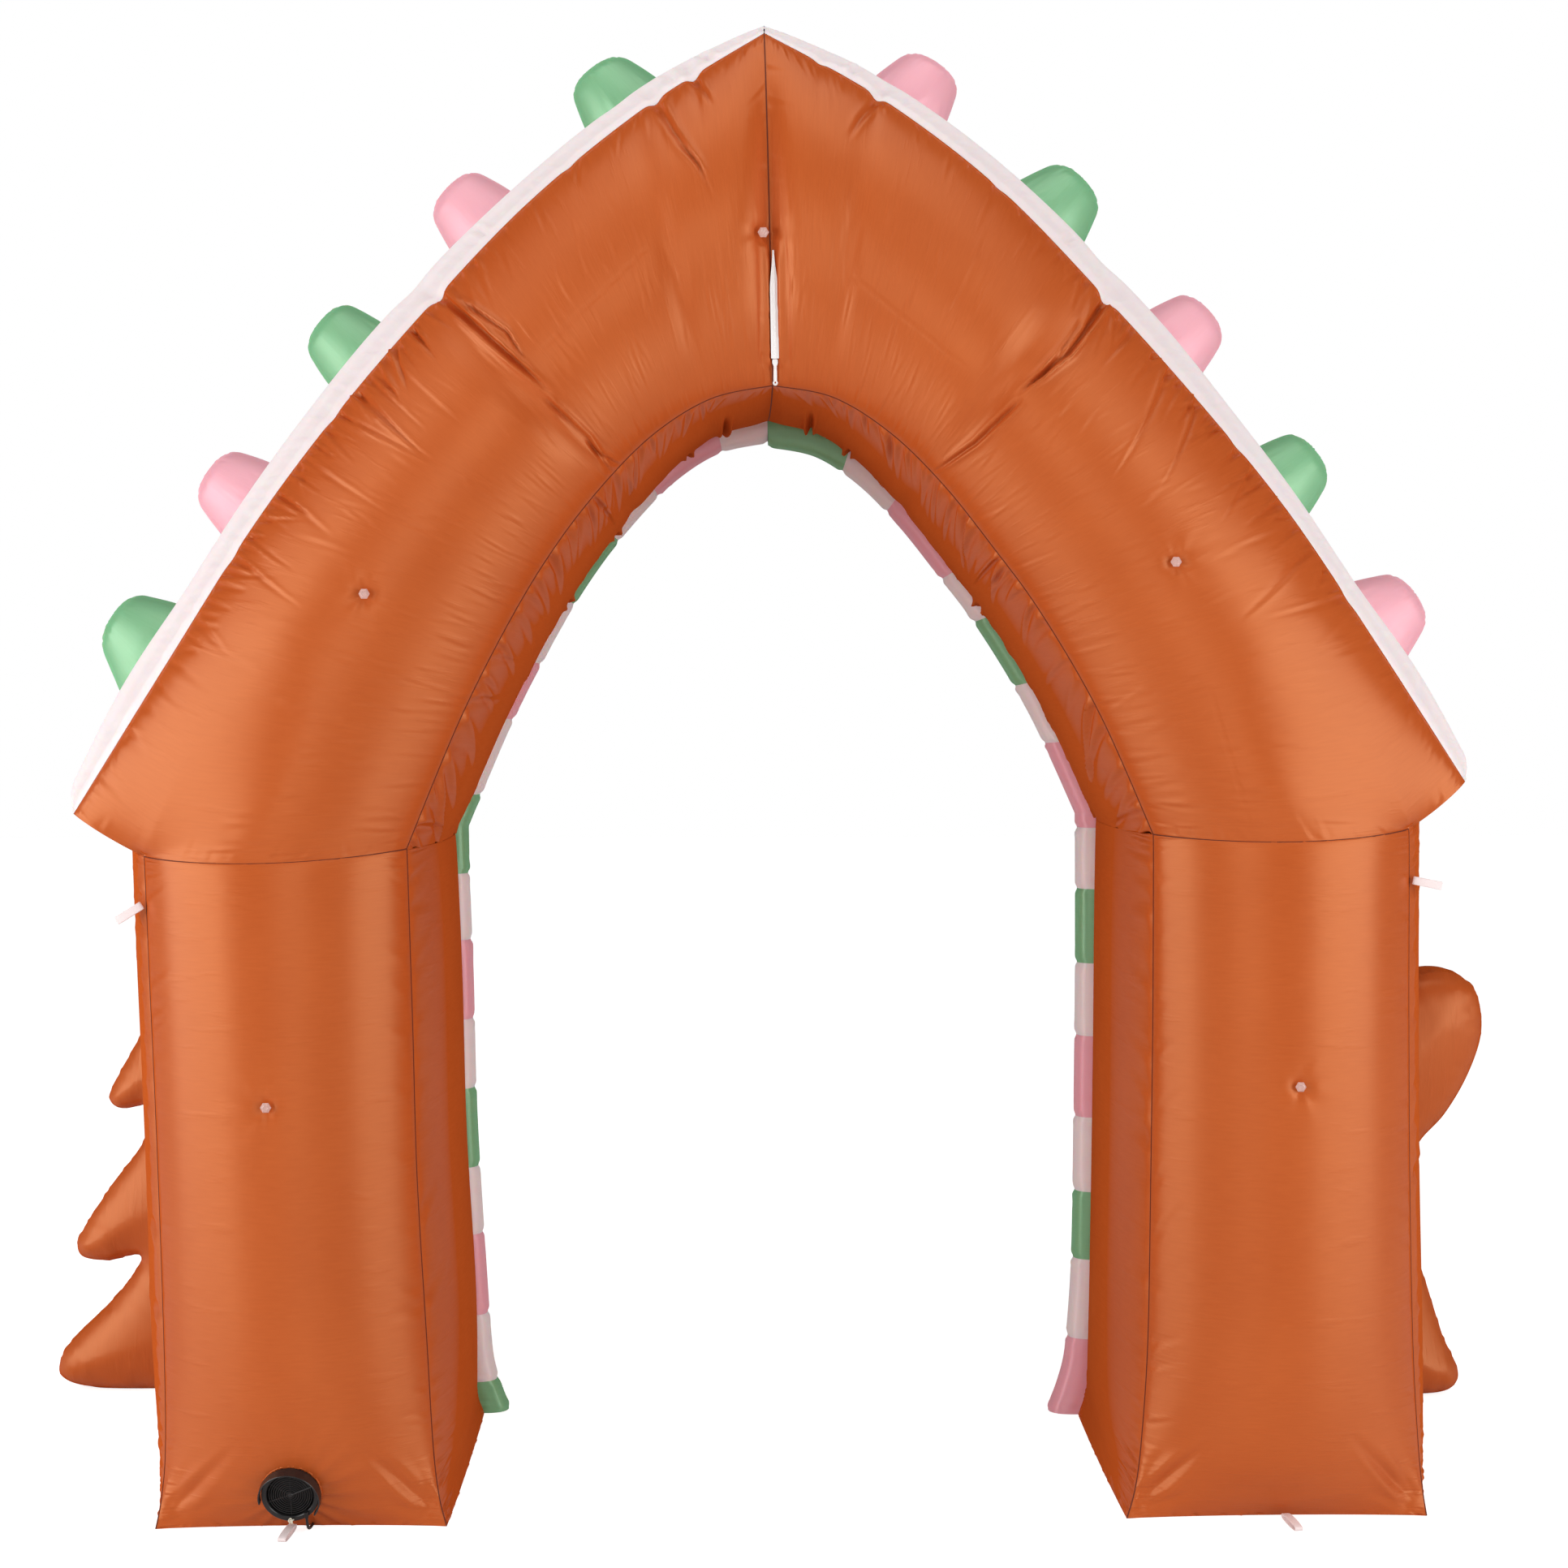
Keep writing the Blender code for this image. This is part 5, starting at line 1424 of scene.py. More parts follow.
@dataclass
class CandyBorder:
    """Striped border round the front edge of the opening, one side of it."""

    side: Side
    joints: Tuple[Tuple[float, float], ...]
    colours: Tuple[Cloth, ...]
    around: int = 34

    def path(self) -> Tuple[Array, Array, Array, Array]:
        """Line of the opening's front corner from the peak down to the floor.

        Returns:
            Corner x and z, direction away from the opening, front Y and foot flare.
        """
        side = self.side
        along = np.linspace(0.0, 1.0, 240)
        _, inner, _ = side.edges(along)
        away = -side.towards(along)
        down = np.linspace(1.0, 0.0, 160)[1:]
        row = row_at(side.leg, down)
        level = np.tile(np.array((side.sign, 0.0)), (len(down), 1))
        corner = np.concatenate((inner, row[:, (2, 0)]))
        front = np.concatenate((np.full(len(along), FRONT_Y), row[:, 4]))
        low = 1.0 - ease(row[:, 0] / 0.11)
        flare = side.trim_reach * np.concatenate((np.ones(len(along)), mix(1.0, 1.20, low)))
        return corner, np.concatenate((away, level)), front, flare

    def build(self) -> Pieces:
        """Build each coloured length as its own padded piece.

        Returns:
            The pieces.
        """
        corner, away, front, flare = self.path()
        travelled = travel(corner)
        columns_of = np.column_stack((corner, away, front, flare)).T
        stops = [0.0]
        for x, z in self.joints:
            nearest = np.argmin(np.hypot(corner[:, 0] - x, corner[:, 1] - z))
            stops.append(float(travelled[nearest]))
        stops.append(float(travelled[-1]))

        def surface(u: Array, v: Array, start: float, end: float) -> Array:
            at = mix(start, end, u)
            px, pz, ax, az, fy, fl = (np.interp(at, travelled, column) for column in columns_of)
            section = row_at(TRIM_SECTION, v)
            ends = np.minimum(at - start, end - at)
            draw = 1.0 - 0.05 * bump(ends, 0.0, 0.006)
            reach = np.where(section[:, 0] < 0.0, section[:, 0] * fl, section[:, 0])
            reach = 0.025 + (reach - 0.025) * draw
            return points_of(px + ax * reach, fy + GAP + section[:, 1] * draw, pz + az * reach)

        pieces = []
        for index, (start, end) in enumerate(zip(stops, stops[1:]), 1):
            columns = max(16, int((end - start) / 0.0045))
            seed = 300 + 20 * index + (7 if self.side.sign > 0 else 0)
            folds = Gathers(0.006, (
                ("first", Puckers(0.018, 0.030, 0.0016, 0.0050, seed)),
                ("last", Puckers(0.018, 0.030, 0.0016, 0.0050, seed + 1)),
                ("near", Puckers(0.024, 0.040, 0.0020, 0.0060, seed + 2)),
            ))
            x, z = (np.interp(0.5 * (start + end), travelled, column) for column in corner.T)
            core = (x + 0.02 * self.side.sign, FRONT_Y + 0.03, z + 0.01)
            panel = Panel(f"trim_length_{self.side.name}_{index}", columns, self.around,
                          lambda u, v, a=start, b=end: surface(u, v, a, b), core, folds.relief,
                          crowd_u=0.4, crowd_v=0.2)
            pieces.append(panel.build())
        return pieces

    def dress(self, wardrobe: Wardrobe) -> Pieces:
        """Build the border and give each length its cloth."""
        return wardrobe.skins(self.build(), self.colours, f"trim_{self.side.name}", "striped_cloth")


TRIM_SECTION = np.array([
    # distance away from the opening, height out of the front
    (0.010, 0.0000),
    (-0.012, 0.0000),
    (-0.029, 0.0060),
    (-0.038, 0.0220),
    (-0.034, 0.0440),
    (-0.012, 0.0630),
    (0.026, 0.0700),
    (0.062, 0.0600),
    (0.084, 0.0380),
    (0.088, 0.0160),
    (0.078, 0.0000),
])
PALE, PINK, GREEN = Cloth.PALE, Cloth.PINK, Cloth.GREEN
BORDERS = [
    CandyBorder(
        LEFT,
        ((-0.094, 1.763), (-0.214, 1.679), (-0.277, 1.584), (-0.365, 1.472), (-0.431, 1.360),
         (-0.482, 1.261), (-0.554, 1.129), (-0.59, 0.991), (-0.59, 0.868), (-0.58, 0.721),
         (-0.58, 0.594), (-0.57, 0.448), (-0.57, 0.328), (-0.56, 0.185), (-0.55, 0.058)),
        (PALE, PINK, PALE, GREEN, PALE, PINK, PALE, GREEN, PALE, PINK, PALE, GREEN, PALE, PINK,
         PALE, GREEN),
    ),
    CandyBorder(
        RIGHT,
        ((0.125, 1.742), (0.205, 1.655), (0.313, 1.524), (0.367, 1.436), (0.446, 1.319),
         (0.498, 1.209), (0.573, 1.068), (0.59, 0.957), (0.59, 0.822), (0.59, 0.684),
         (0.59, 0.544), (0.59, 0.408), (0.59, 0.275), (0.58, 0.136)),
        (GREEN, PALE, PINK, PALE, GREEN, PALE, PINK, PALE, GREEN, PALE, PINK, PALE, GREEN, PALE,
         PINK),
    ),
]


@dataclass(frozen=True)
class GumdropPlace:
    """Where one gumdrop stands on the roof seam."""

    distance: float
    lean: float
    cloth: Cloth


GUMDROPS = {
    "left": (GumdropPlace(0.221, -3.0, GREEN), GumdropPlace(0.511, 0.0, PINK),
             GumdropPlace(0.808, 2.0, GREEN), GumdropPlace(1.101, 0.0, PINK),
             GumdropPlace(1.390, 4.0, GREEN)),
    "right": (GumdropPlace(0.230, 3.0, PINK), GumdropPlace(0.513, 0.0, GREEN),
              GumdropPlace(0.809, 0.0, PINK), GumdropPlace(1.097, -2.0, GREEN),
              GumdropPlace(1.377, 1.0, PINK)),
}
GUMDROP_PROFILE = np.array([
    # radius, height
    (0.073, 0.000),
    (0.069, 0.020),
    (0.061, 0.048),
    (0.053, 0.068),
    (0.039, 0.080),
    (0.019, 0.085),
    (0.000, 0.087),
])


@dataclass
class Gumdrop:
    """One blown-up gumdrop, its foot draped over the roof band."""

    side: Side
    index: int
    place: GumdropPlace
    columns: int = 96
    rows: int = 40

    def build(self) -> Piece:
        """Build the gumdrop.

        Returns:
            The piece.
        """
        side = self.side
        line = np.linspace(0.0, 1.0, 400)
        outer = side.edges(line)[0]
        travelled = travel(outer)
        along = float(np.interp(self.place.distance, travelled, line))
        length = float(travelled[-1])
        here = np.array([along])
        _, outward, downhill = side.roof_frame(here)
        out = np.array((outward[0, 0], 0.0, outward[0, 1]))
        down = np.array((downhill[0, 0], 0.0, downhill[0, 1]))
        lean = math.radians(self.place.lean)
        axis = np.array((out[0] * math.cos(lean) + out[2] * math.sin(lean), 0.0,
                         out[2] * math.cos(lean) - out[0] * math.sin(lean)))
        centre = side.band(here, np.array([0.5]))[0]
        top = GUMDROP_PROFILE[-1, 1]

        def surface(u: Array, v: Array) -> Array:
            section = row_at(GUMDROP_PROFILE, v)
            angle = 2.0 * np.pi * u
            a, b = section[:, 0] * np.cos(angle), section[:, 0] * np.sin(angle)
            rise = section[:, 1][:, None] * axis
            flat = centre + a[:, None] * down + b[:, None] * np.array((0.0, 1.0, 0.0)) + rise
            deep = 0.5 + b / (FRONT_Y - REAR_Y)
            foot = side.band(along + a / length, deep) + out * 0.001 + rise
            return mix(flat, foot, (1.0 - section[:, 1] / top)[:, None])

        core = tuple(centre + axis * 0.04)
        panel = Panel(f"gumdrop_skin_{side.name}_{self.index}", self.columns, self.rows, surface,
                      core, self.relief, crowd_v=0.0, closed_u=True)
        return panel.build()

    def relief(self, around: Array, up: Array, points: Array) -> Array:
        """Folds of the gumdrop's cloth.

        Args:
            around: Cloth distance round it.
            up: Cloth distance up from its foot.
            points: Places of the smooth piece.

        Returns:
            Heights in metres.
        """
        seed = 500 + 10 * self.index + int(self.side.sign)
        rim = 0.080
        total = Puckers(0.014, 0.022, 0.0014, 0.0036, seed).relief(around, np.abs(up - rim))
        total += Puckers(0.020, 0.030, 0.0012, 0.0045, seed + 1).relief(around, up)
        return (total - 0.0010 * bump(up, rim, 0.003)) * ease((float(up.max()) - up) / 0.02)

    def dress(self, wardrobe: Wardrobe) -> Pieces:
        """Build the gumdrop and give it its cloth."""
        node = f"gumdrop_{self.side.name}_{self.index}"
        return wardrobe.skins([self.build()], [self.place.cloth], node)


@dataclass
class Figure:
    """A blown-up figure: two faces and a gusset between them."""

    node: str
    centre_x: float
    half: Array
    middle: Array
    plane_y: float = 0.352
    crown_height: float = 0.053
    gusset: float = 0.040
    round_off: float = 0.150
    foot_back: float = 0.0
    foot_height: float = 0.36
    grid: float = 0.011

    def plane(self, height: Array) -> Array:
        """Depth of the figure's middle at a height, its feet set back."""
        return self.plane_y - self.foot_back * (1.0 - ease(height / self.foot_height))

    def outline(self) -> Array:
        """Closed outline of the figure.

        Returns:
            x and z in each row.
        """
        right = np.stack((self.centre_x + self.half[:, 0], self.half[:, 1]), axis=1)
        left = np.stack((self.centre_x - self.half[::-1, 0], self.half[::-1, 1]), axis=1)
        top = np.array([(self.centre_x, self.middle[0, 1])])
        foot = np.stack((self.centre_x + self.middle[1:, 0], self.middle[1:, 1]), axis=1)
        corners = np.concatenate((right, top, left, foot))
        count = len(corners)
        steps = np.arange(count * 8) / 8.0
        index = steps.astype(int)
        local = (steps - index)[:, None]
        curve = spline(*(corners[(index + k) % count] for k in (-1, 0, 1, 2)), local)
        curve[:, 1] = np.maximum(curve[:, 1], 0.0)
        return curve

    def edge_distance(self, points: Array, outline: Array) -> Array:
        """Distance from points to the outline.

        Args:
            points: x and z in each row.
            outline: The closed outline.

        Returns:
            Distances.
        """
        run = np.roll(outline, -1, axis=0) - outline
        share = ((points[:, None] - outline) * run).sum(2) / np.maximum((run ** 2).sum(1), 1e-12)
        nearest = outline + run * np.clip(share, 0.0, 1.0)[:, :, None]
        return np.linalg.norm(points[:, None] - nearest, axis=2).min(1)

    def inside(self, points: Array, outline: Array) -> Array:
        """Find the points inside the outline.

        Args:
            points: x and z in each row.
            outline: The closed outline.

        Returns:
            True for each point inside.
        """
        a, b = outline, np.roll(outline, -1, axis=0)
        x, z = points[:, 0][:, None], points[:, 1][:, None]
        straddles = (a[:, 1] > z) != (b[:, 1] > z)
        rise = np.where(np.abs(b[:, 1] - a[:, 1]) < 1e-12, 1.0, b[:, 1] - a[:, 1])
        crossing = a[:, 0] + (z - a[:, 1]) * (b[:, 0] - a[:, 0]) / rise
        return (straddles & (x < crossing)).sum(1) % 2 == 1

    def build(self) -> Pieces:
        """Build the faces and the gusset.

        Returns:
            The pieces.
        """
        outline = self.outline()
        low, high = outline.min(0), outline.max(0)
        columns = np.arange(low[0], high[0], self.grid)
        rows = np.arange(low[1], high[1], self.grid)
        gx, gz = np.meshgrid(columns, rows)
        gx = gx + 0.5 * self.grid * (np.arange(len(rows)) % 2)[:, None]
        grid = np.stack((gx.ravel(), gz.ravel()), axis=1)
        grid = grid[self.inside(grid, outline)]
        grid = grid[self.edge_distance(grid, outline) > 0.4 * self.grid]
        count = len(outline)
        flat = [Vector(point) for point in np.concatenate((outline, grid))]
        edges = [(k, (k + 1) % count) for k in range(count)]
        verts, _, faces = delaunay_2d_cdt(flat, edges, [list(range(count))], 1, 1e-6)[:3]
        places = np.array([tuple(point) for point in verts])
        away = self.edge_distance(places, outline)
        share = np.minimum(away / self.round_off, 1.0)
        full = self.gusset + self.crown_height * np.sqrt(1.0 - (1.0 - share) ** 2)
        travelled = travel(outline)
        nearest = np.argmin(((places[:, None] - outline) ** 2).sum(2), axis=1)
        folds = Puckers(0.026, 0.060, 0.0040, 0.0080, 61).relief(travelled[nearest], away)
        full = full + folds * ease(away / 0.012)
        pieces = []
        for facing, word in ((-1.0, "rear"), (1.0, "front")):
            bm = bmesh.new()
            made = [bm.verts.new((p[0], y + facing * deep, p[1]))
                    for p, y, deep in zip(places, self.plane(places[:, 1]), full)]
            layer = bm.loops.layers.uv.new("cloth")
            for face in faces:
                order = face if facing < 0 else face[::-1]
                new = bm.faces.new([made[k] for k in order])
                for loop in new.loops:
                    loop[layer].uv = (loop.vert.co.x, loop.vert.co.z)
            bmesh.ops.recalc_face_normals(bm, faces=bm.faces[:])
            if sum(face.normal.y for face in bm.faces) * facing < 0.0:
                bmesh.ops.reverse_faces(bm, faces=bm.faces[:])
            pieces.append(finish_mesh(f"{self.node}_{word}", bm))
        pieces.append(self.build_gusset(outline, travelled))
        return pieces

    def build_gusset(self, outline: Array, travelled: Array) -> Piece:
        """Build the strip between the two faces.

        Args:
            outline: The closed outline.
            travelled: Distances along it.

        Returns:
            The piece.
        """
        total = travelled[-1] + float(np.linalg.norm(outline[0] - outline[-1]))
        closed = np.concatenate((outline, outline[:1]))
        reach = np.concatenate((travelled, [total]))

        def surface(u: Array, v: Array) -> Array:
            (x, z), ahead, behind = (
                np.array([np.interp(np.mod(place, 1.0) * total, reach, line) for line in closed.T])
                for place in (u, u + 0.002, u - 0.002))
            run = unit((ahead - behind).T)
            swell = 0.004 * crown(v)
            px, pz = x + run[:, 1] * swell, z - run[:, 0] * swell
            return points_of(px, self.plane(z) + mix(-self.gusset, self.gusset, v), np.maximum(pz, 0.0))

        def relief(along: Array, across: Array, points: Array) -> Array:
            width = float(across.max())
            edge = np.minimum(across, width - across)
            return Puckers(0.028, 0.05, 0.0024, 0.007, 62).relief(along, across) * ease(edge / 0.010)

        core = (self.centre_x, self.plane_y, 0.45)
        panel = Panel(f"{self.node}_gusset", 700, 10, surface, core, relief, crowd_v=0.0, closed_u=True)
        return panel.build()

    def dress(self, wardrobe: Wardrobe) -> Pieces:
        """Build the figure and give it its cloth."""
        return wardrobe.skins(self.build(), [Cloth.BROWN], self.node)


TREE = Figure("tree_figure", -0.955, np.array([
    # half width, height
    (0.236, 0.000), (0.340, 0.006), (0.384, 0.022), (0.391, 0.047), (0.372, 0.084),
    (0.295, 0.160), (0.243, 0.228), (0.240, 0.256), (0.296, 0.246), (0.342, 0.252),
    (0.354, 0.274), (0.344, 0.302), (0.290, 0.384), (0.238, 0.452), (0.212, 0.510),
    (0.218, 0.540), (0.266, 0.534), (0.288, 0.548), (0.284, 0.574), (0.232, 0.668),
    (0.162, 0.800), (0.096, 0.920), (0.036, 0.990),
]), np.array([(0.0, 1.004)]))
GINGERBREAD = Figure("gingerbread_figure", 0.967, np.array([
    (0.072, 0.000), (0.175, 0.000), (0.276, 0.003), (0.310, 0.020), (0.314, 0.050),
    (0.292, 0.100), (0.271, 0.184), (0.244, 0.300), (0.241, 0.400), (0.264, 0.458),
    (0.310, 0.510), (0.351, 0.580), (0.377, 0.655), (0.376, 0.715), (0.358, 0.758),
    (0.312, 0.782), (0.254, 0.776), (0.191, 0.744), (0.142, 0.750), (0.150, 0.800),
    (0.181, 0.870), (0.181, 0.950), (0.142, 1.030), (0.072, 1.070),
]), np.array([(0.0, 1.084), (-0.040, 0.075), (0.0, 0.130), (0.040, 0.075)]), foot_back=0.09)


def mould(bm: Mesh, columns: int, rows: int, place: Callable[[Array, Array], Array]) -> None:
    """Wrap a grid round a shape and weld it where it meets itself.

    Args:
        bm: The bmesh that takes the shape.
        columns: Steps in the first direction.
        rows: Steps in the second direction.
        place: Gives the points for two arrays of places from 0 to 1.
    """
    made = bmesh.ops.create_grid(bm, x_segments=columns, y_segments=rows, size=0.5)["verts"]
    raw = np.array([vert.co[0:2] for vert in made]) + 0.5
    for vert, point in zip(made, place(raw[:, 0], raw[:, 1])):
        vert.co = point
    bmesh.ops.remove_doubles(bm, verts=made, dist=1e-6)


@dataclass(frozen=True)
class Seat:
    """Place and axes that a small part is turned or laid out on."""

    centre: Tuple[float, float, float]
    axes: Array

    def points(self, x: Array, y: Array, z: Array) -> Array:
        """Turn the part's own coordinates into the frame's."""
        return np.array(self.centre) + points_of(x, y, z) @ self.axes

    def turned(self, bm: Mesh, profile: Sequence[Tuple[float, float]], sides: int,
               flutes: int = 0, fluted: Tuple[int, int] = (0, 0), sink: Sequence[float] = ()) -> None:
        """Add a turned shape.

        Args:
            bm: The bmesh that takes it.
            profile: Radius and height of each ring.
            sides: Steps round it.
            flutes: Number of grip flutes.
            fluted: First and last ring with flutes.
            sink: How far each ring's middle lies along the second axis, if any does.
        """
        rows = np.array(profile)
        shift = np.array(sink) if len(sink) else np.zeros(len(rows))

        def place(u: Array, v: Array) -> Array:
            index = np.rint(v * (len(rows) - 1)).astype(int)
            angle = 2.0 * np.pi * u
            grip = (index >= fluted[0]) & (index <= fluted[1])
            radius = rows[index, 0] * (1.0 - 0.05 * grip * ease(0.5 + 1.5 * np.cos(flutes * angle)))
            return self.points(radius * np.cos(angle), radius * np.sin(angle) + shift[index],
                               rows[index, 1])

        mould(bm, sides, len(rows) - 1, place)

    def ring(self, bm: Mesh, radius: float, thick: float, height: float) -> None:
        """Add a round wire ring.

        Args:
            bm: The bmesh that takes it.
            radius: Radius of the ring's middle line.
            thick: Radius of the wire.
            height: Its height on the seat.
        """
        def place(u: Array, v: Array) -> Array:
            angle, turn = 2.0 * np.pi * u, 2.0 * np.pi * v
            reach = radius + thick * np.cos(turn)
            return self.points(reach * np.cos(angle), reach * np.sin(angle), height + thick * np.sin(turn))

        mould(bm, 72, 8, place)


def tube(bm: Mesh, path: Array, radius: float, sides: int = 8) -> None:
    """Add a round bar with closed ends along a path.

    Args:
        bm: The bmesh that takes it.
        path: Its middle line.
        radius: Its radius.
        sides: Steps round it.
    """
    run = unit(np.gradient(path, axis=0))
    across = [np.cross(run[0], (0.3, 0.5, 0.8))]
    for along in run:
        across.append(across[-1] - along * float(across[-1] @ along))
    level = unit(np.array(across[1:]))
    upward = np.cross(run, level)
    count = len(path)

    def place(u: Array, v: Array) -> Array:
        step = np.rint(v * (count + 1)).astype(int)
        index = np.clip(step - 1, 0, count - 1)
        thick = radius * ((step > 0) & (step < count + 1))
        angle = 2.0 * np.pi * u
        return path[index] + thick[:, None] * (np.cos(angle)[:, None] * level[index]
                                               + np.sin(angle)[:, None] * upward[index])

    mould(bm, sides, count + 1, place)


@dataclass
class Seam:
    """Thin dark line of painted shade along the crease where two panels of cloth meet."""

    name: str
    line: Array
    radius: float = 0.0010

    def dress(self, wardrobe: Wardrobe) -> Pieces:
        """Build the seam and give it its dark painted-shade finish.

        Args:
            wardrobe: Source of materials.

        Returns:
            The dressed piece.
        """
        bm = bmesh.new()
        # painted shade: a dark thin tube where the seam's crease falls in shade
        tube(bm, self.line, self.radius, 6)
        piece = close_up(f"seam_{self.name}", bm)
        return [wardrobe.dress(piece, wardrobe.plain("seam_thread"), Cloth.BROWN.value)]


def seams() -> List[Seam]:
    """Dark lines of painted shade along the seams of both halves that show from the rear.

    Returns:
        The seams.
    """
    run = np.linspace(0.0, 1.0, 181)
    first, last = np.zeros_like(run), np.ones_like(run)
    found = [Seam("peak", LEFT.rear(first, run)), Seam("peak_inside", LEFT.reveal(first, run))]
    for side in SIDES:
        found += [Seam(f"arch_{side.name}", side.reveal(run, first)),
                  Seam(f"leg_inner_{side.name}", side.leg_inner(np.maximum(run, 0.002), first)),
                  Seam(f"leg_outer_{side.name}", side.leg_outer(np.maximum(run, 0.002), first)),
                  Seam(f"leg_top_{side.name}", side.leg_rear(last, run))]
    return found


def close_up(name: str, bm: Mesh, smooth: bool = True) -> Piece:
    """Turn closed shapes into one object, their faces outward.

    Args:
        name: The object's name.
        bm: The finished bmesh, which is freed.
        smooth: Whether its faces are shaded smooth.

    Returns:
        The object.
    """
    bmesh.ops.recalc_face_normals(bm, faces=bm.faces[:])
    for edge in bm.edges:
        edge.smooth = edge.calc_face_angle(0.0) < math.radians(38)
    return finish_mesh(name, bm, smooth)


@dataclass
class Blower:
    """Face of the air blower in the left foot: cup, grille, hood and drawstring."""

    radius: float = 0.0450
    bore: float = 0.0370
    proud: float = 0.014
    sunk: float = 0.030
    well: float = 0.020
    rings: int = 9
    hood_radius: float = 0.0490
    hood_wall: float = 0.0030
    hood_reach: float = 0.017
    hood_start: float = math.radians(-39)
    hood_end: float = math.radians(192)

    @property
    def seat(self) -> Seat:
        """Seat at the middle of the face, its last axis out of the leg."""
        return Seat(tuple(BLOWER_CENTRE), blower_axes())

    def cup(self) -> Piece:
        """Build the cup.

        Returns:
            The piece.
        """
        bm = bmesh.new()
        rim = self.proud
        self.seat.turned(bm, (
            (0.0, -self.sunk), (self.radius - 0.002, -self.sunk), (self.radius, -self.sunk + 0.002),
            (self.radius, rim - 0.0010), (self.radius - 0.0010, rim), (self.bore + 0.0012, rim),
            (self.bore, rim - 0.0012), (self.bore, -self.well), (0.0, -self.well),
        ), 96)
        return close_up("blower_cup", bm)

    def guard(self) -> Piece:
        """Build the grille: rings on spokes round a hub.

        Returns:
            The piece.
        """
        bm = bmesh.new()
        top = self.proud - 0.0042
        pitch = (self.bore - 0.0060) / self.rings
        for k in range(self.rings):
            self.seat.ring(bm, 0.0060 + k * pitch, 0.00085, top)
        for degrees, thick in ((24, 0.0013), (90, 0.0008), (148, 0.0008), (200, 0.0010), (270, 0.0009)):
            angle = math.radians(degrees)
            reach = np.linspace(0.002, self.bore + 0.0006, 6)
            flat = np.zeros(6)
            height = flat + top + (0.0008 if degrees == 24 else -0.0006)
            tube(bm, self.seat.points(reach * math.cos(angle), reach * math.sin(angle), height), thick)
        self.seat.turned(bm, ((0.0, top - 0.0012), (0.0040, top - 0.0012), (0.0042, top + 0.0006),
                              (0.0030, top + 0.0012), (0.0, top + 0.0012)), 32)
        return close_up("blower_guard", bm)

    def hood(self) -> Piece:
        """Build the rain hood, a curved lip with rounded edges.

        Returns:
            The piece.
        """
        foot, inner = self.proud - 0.002, self.hood_radius - self.hood_wall
        outer, edge = self.hood_radius, 0.0006

        def place(u: Array, v: Array) -> Array:
            angle = mix(self.hood_start, self.hood_end, u)
            reach = self.proud + self.hood_reach * mix(0.55, 1.0, np.sin(np.pi * u) ** 0.7)
            low, high = np.full_like(u, foot), reach
            lip = outer - 0.0008
            section = ((inner, low), (outer - edge, low), (outer, low + edge), (lip, high - edge),
                       (lip - edge, high), (inner + edge, high), (inner, high - edge), (inner, low))
            index = np.rint(v * 7).astype(int)
            radius = np.array([row[0] for row in section])[index]
            height = np.choose(index, [row[1] for row in section])
            end = (u < 1e-4) | (u > 1.0 - 1e-4)
            radius = np.where(end, 0.5 * (inner + outer), radius)
            height = np.where(end, 0.5 * (low + high), height)
            return self.seat.points(radius * np.cos(angle), radius * np.sin(angle), height)

        bm = bmesh.new()
        mould(bm, 96, 7, place)
        return close_up("blower_visor", bm)

    def gather(self) -> Piece:
        """Build the gathered hem that the drawstring pulls round the cup.

        Returns:
            The piece.
        """
        def surface(u: Array, v: Array) -> Array:
            angle, turn = 2.0 * np.pi * u, 2.0 * np.pi * v
            thick = 0.0016 * (1.0 + 0.16 * np.cos(31.0 * angle) + 0.12 * np.cos(47.0 * angle + 1.0))
            reach = self.radius + 0.0016 + thick * np.cos(turn)
            return self.seat.points(reach * np.cos(angle), reach * np.sin(angle),
                                    0.0030 + thick * np.sin(turn))

        return Panel("blower_gather", 240, 10, surface, tuple(BLOWER_CENTRE), crowd_v=0.0,
                     closed_u=True).build()

    def knot(self) -> Piece:
        """Build the drawstring's knot with its frayed ends.

        Returns:
            The piece.
        """
        t = np.linspace(0.0, 2.0 * np.pi, 60)
        wound = points_of(np.sin(t) + 2.0 * np.sin(2.0 * t), np.cos(t) - 2.0 * np.cos(2.0 * t),
                          -np.sin(3.0 * t))
        middle = np.array((0.0005, -0.0405, self.proud + 0.0047))
        bm = bmesh.new()
        local = middle + wound * np.array((0.0013, 0.0010, 0.0026))
        tube(bm, self.seat.points(*local.T), 0.0011)
        rng = np.random.default_rng(5)
        for _ in range(9):
            s = np.linspace(0.0, 1.0, 6)
            lean = rng.uniform(-0.0035, 0.0045)
            drop = rng.uniform(0.0030, 0.0060)
            strand = middle + points_of(lean * s, -drop * s ** 1.3, 0.0012 * np.sin(3.0 * s) + 0.0010)
            tube(bm, self.seat.points(*strand.T), 0.0004, 6)
        return close_up("blower_string", bm)

    def dress(self, wardrobe: Wardrobe) -> Pieces:
        """Build the blower's face and give it its materials.

        Args:
            wardrobe: Source of materials.

        Returns:
            The dressed pieces.
        """
        pieces = [
            wardrobe.part(self.cup(), "black_plastic", "blower_housing"),
            wardrobe.part(self.guard(), "black_plastic", "blower_grille"),
            wardrobe.part(self.hood(), "black_plastic", "blower_hood"),
            wardrobe.part(self.knot(), "string", "blower_knot"),
            wardrobe.dress(self.gather(), wardrobe.cloth(Cloth.BROWN), Cloth.BROWN.value),
        ]
        return pieces


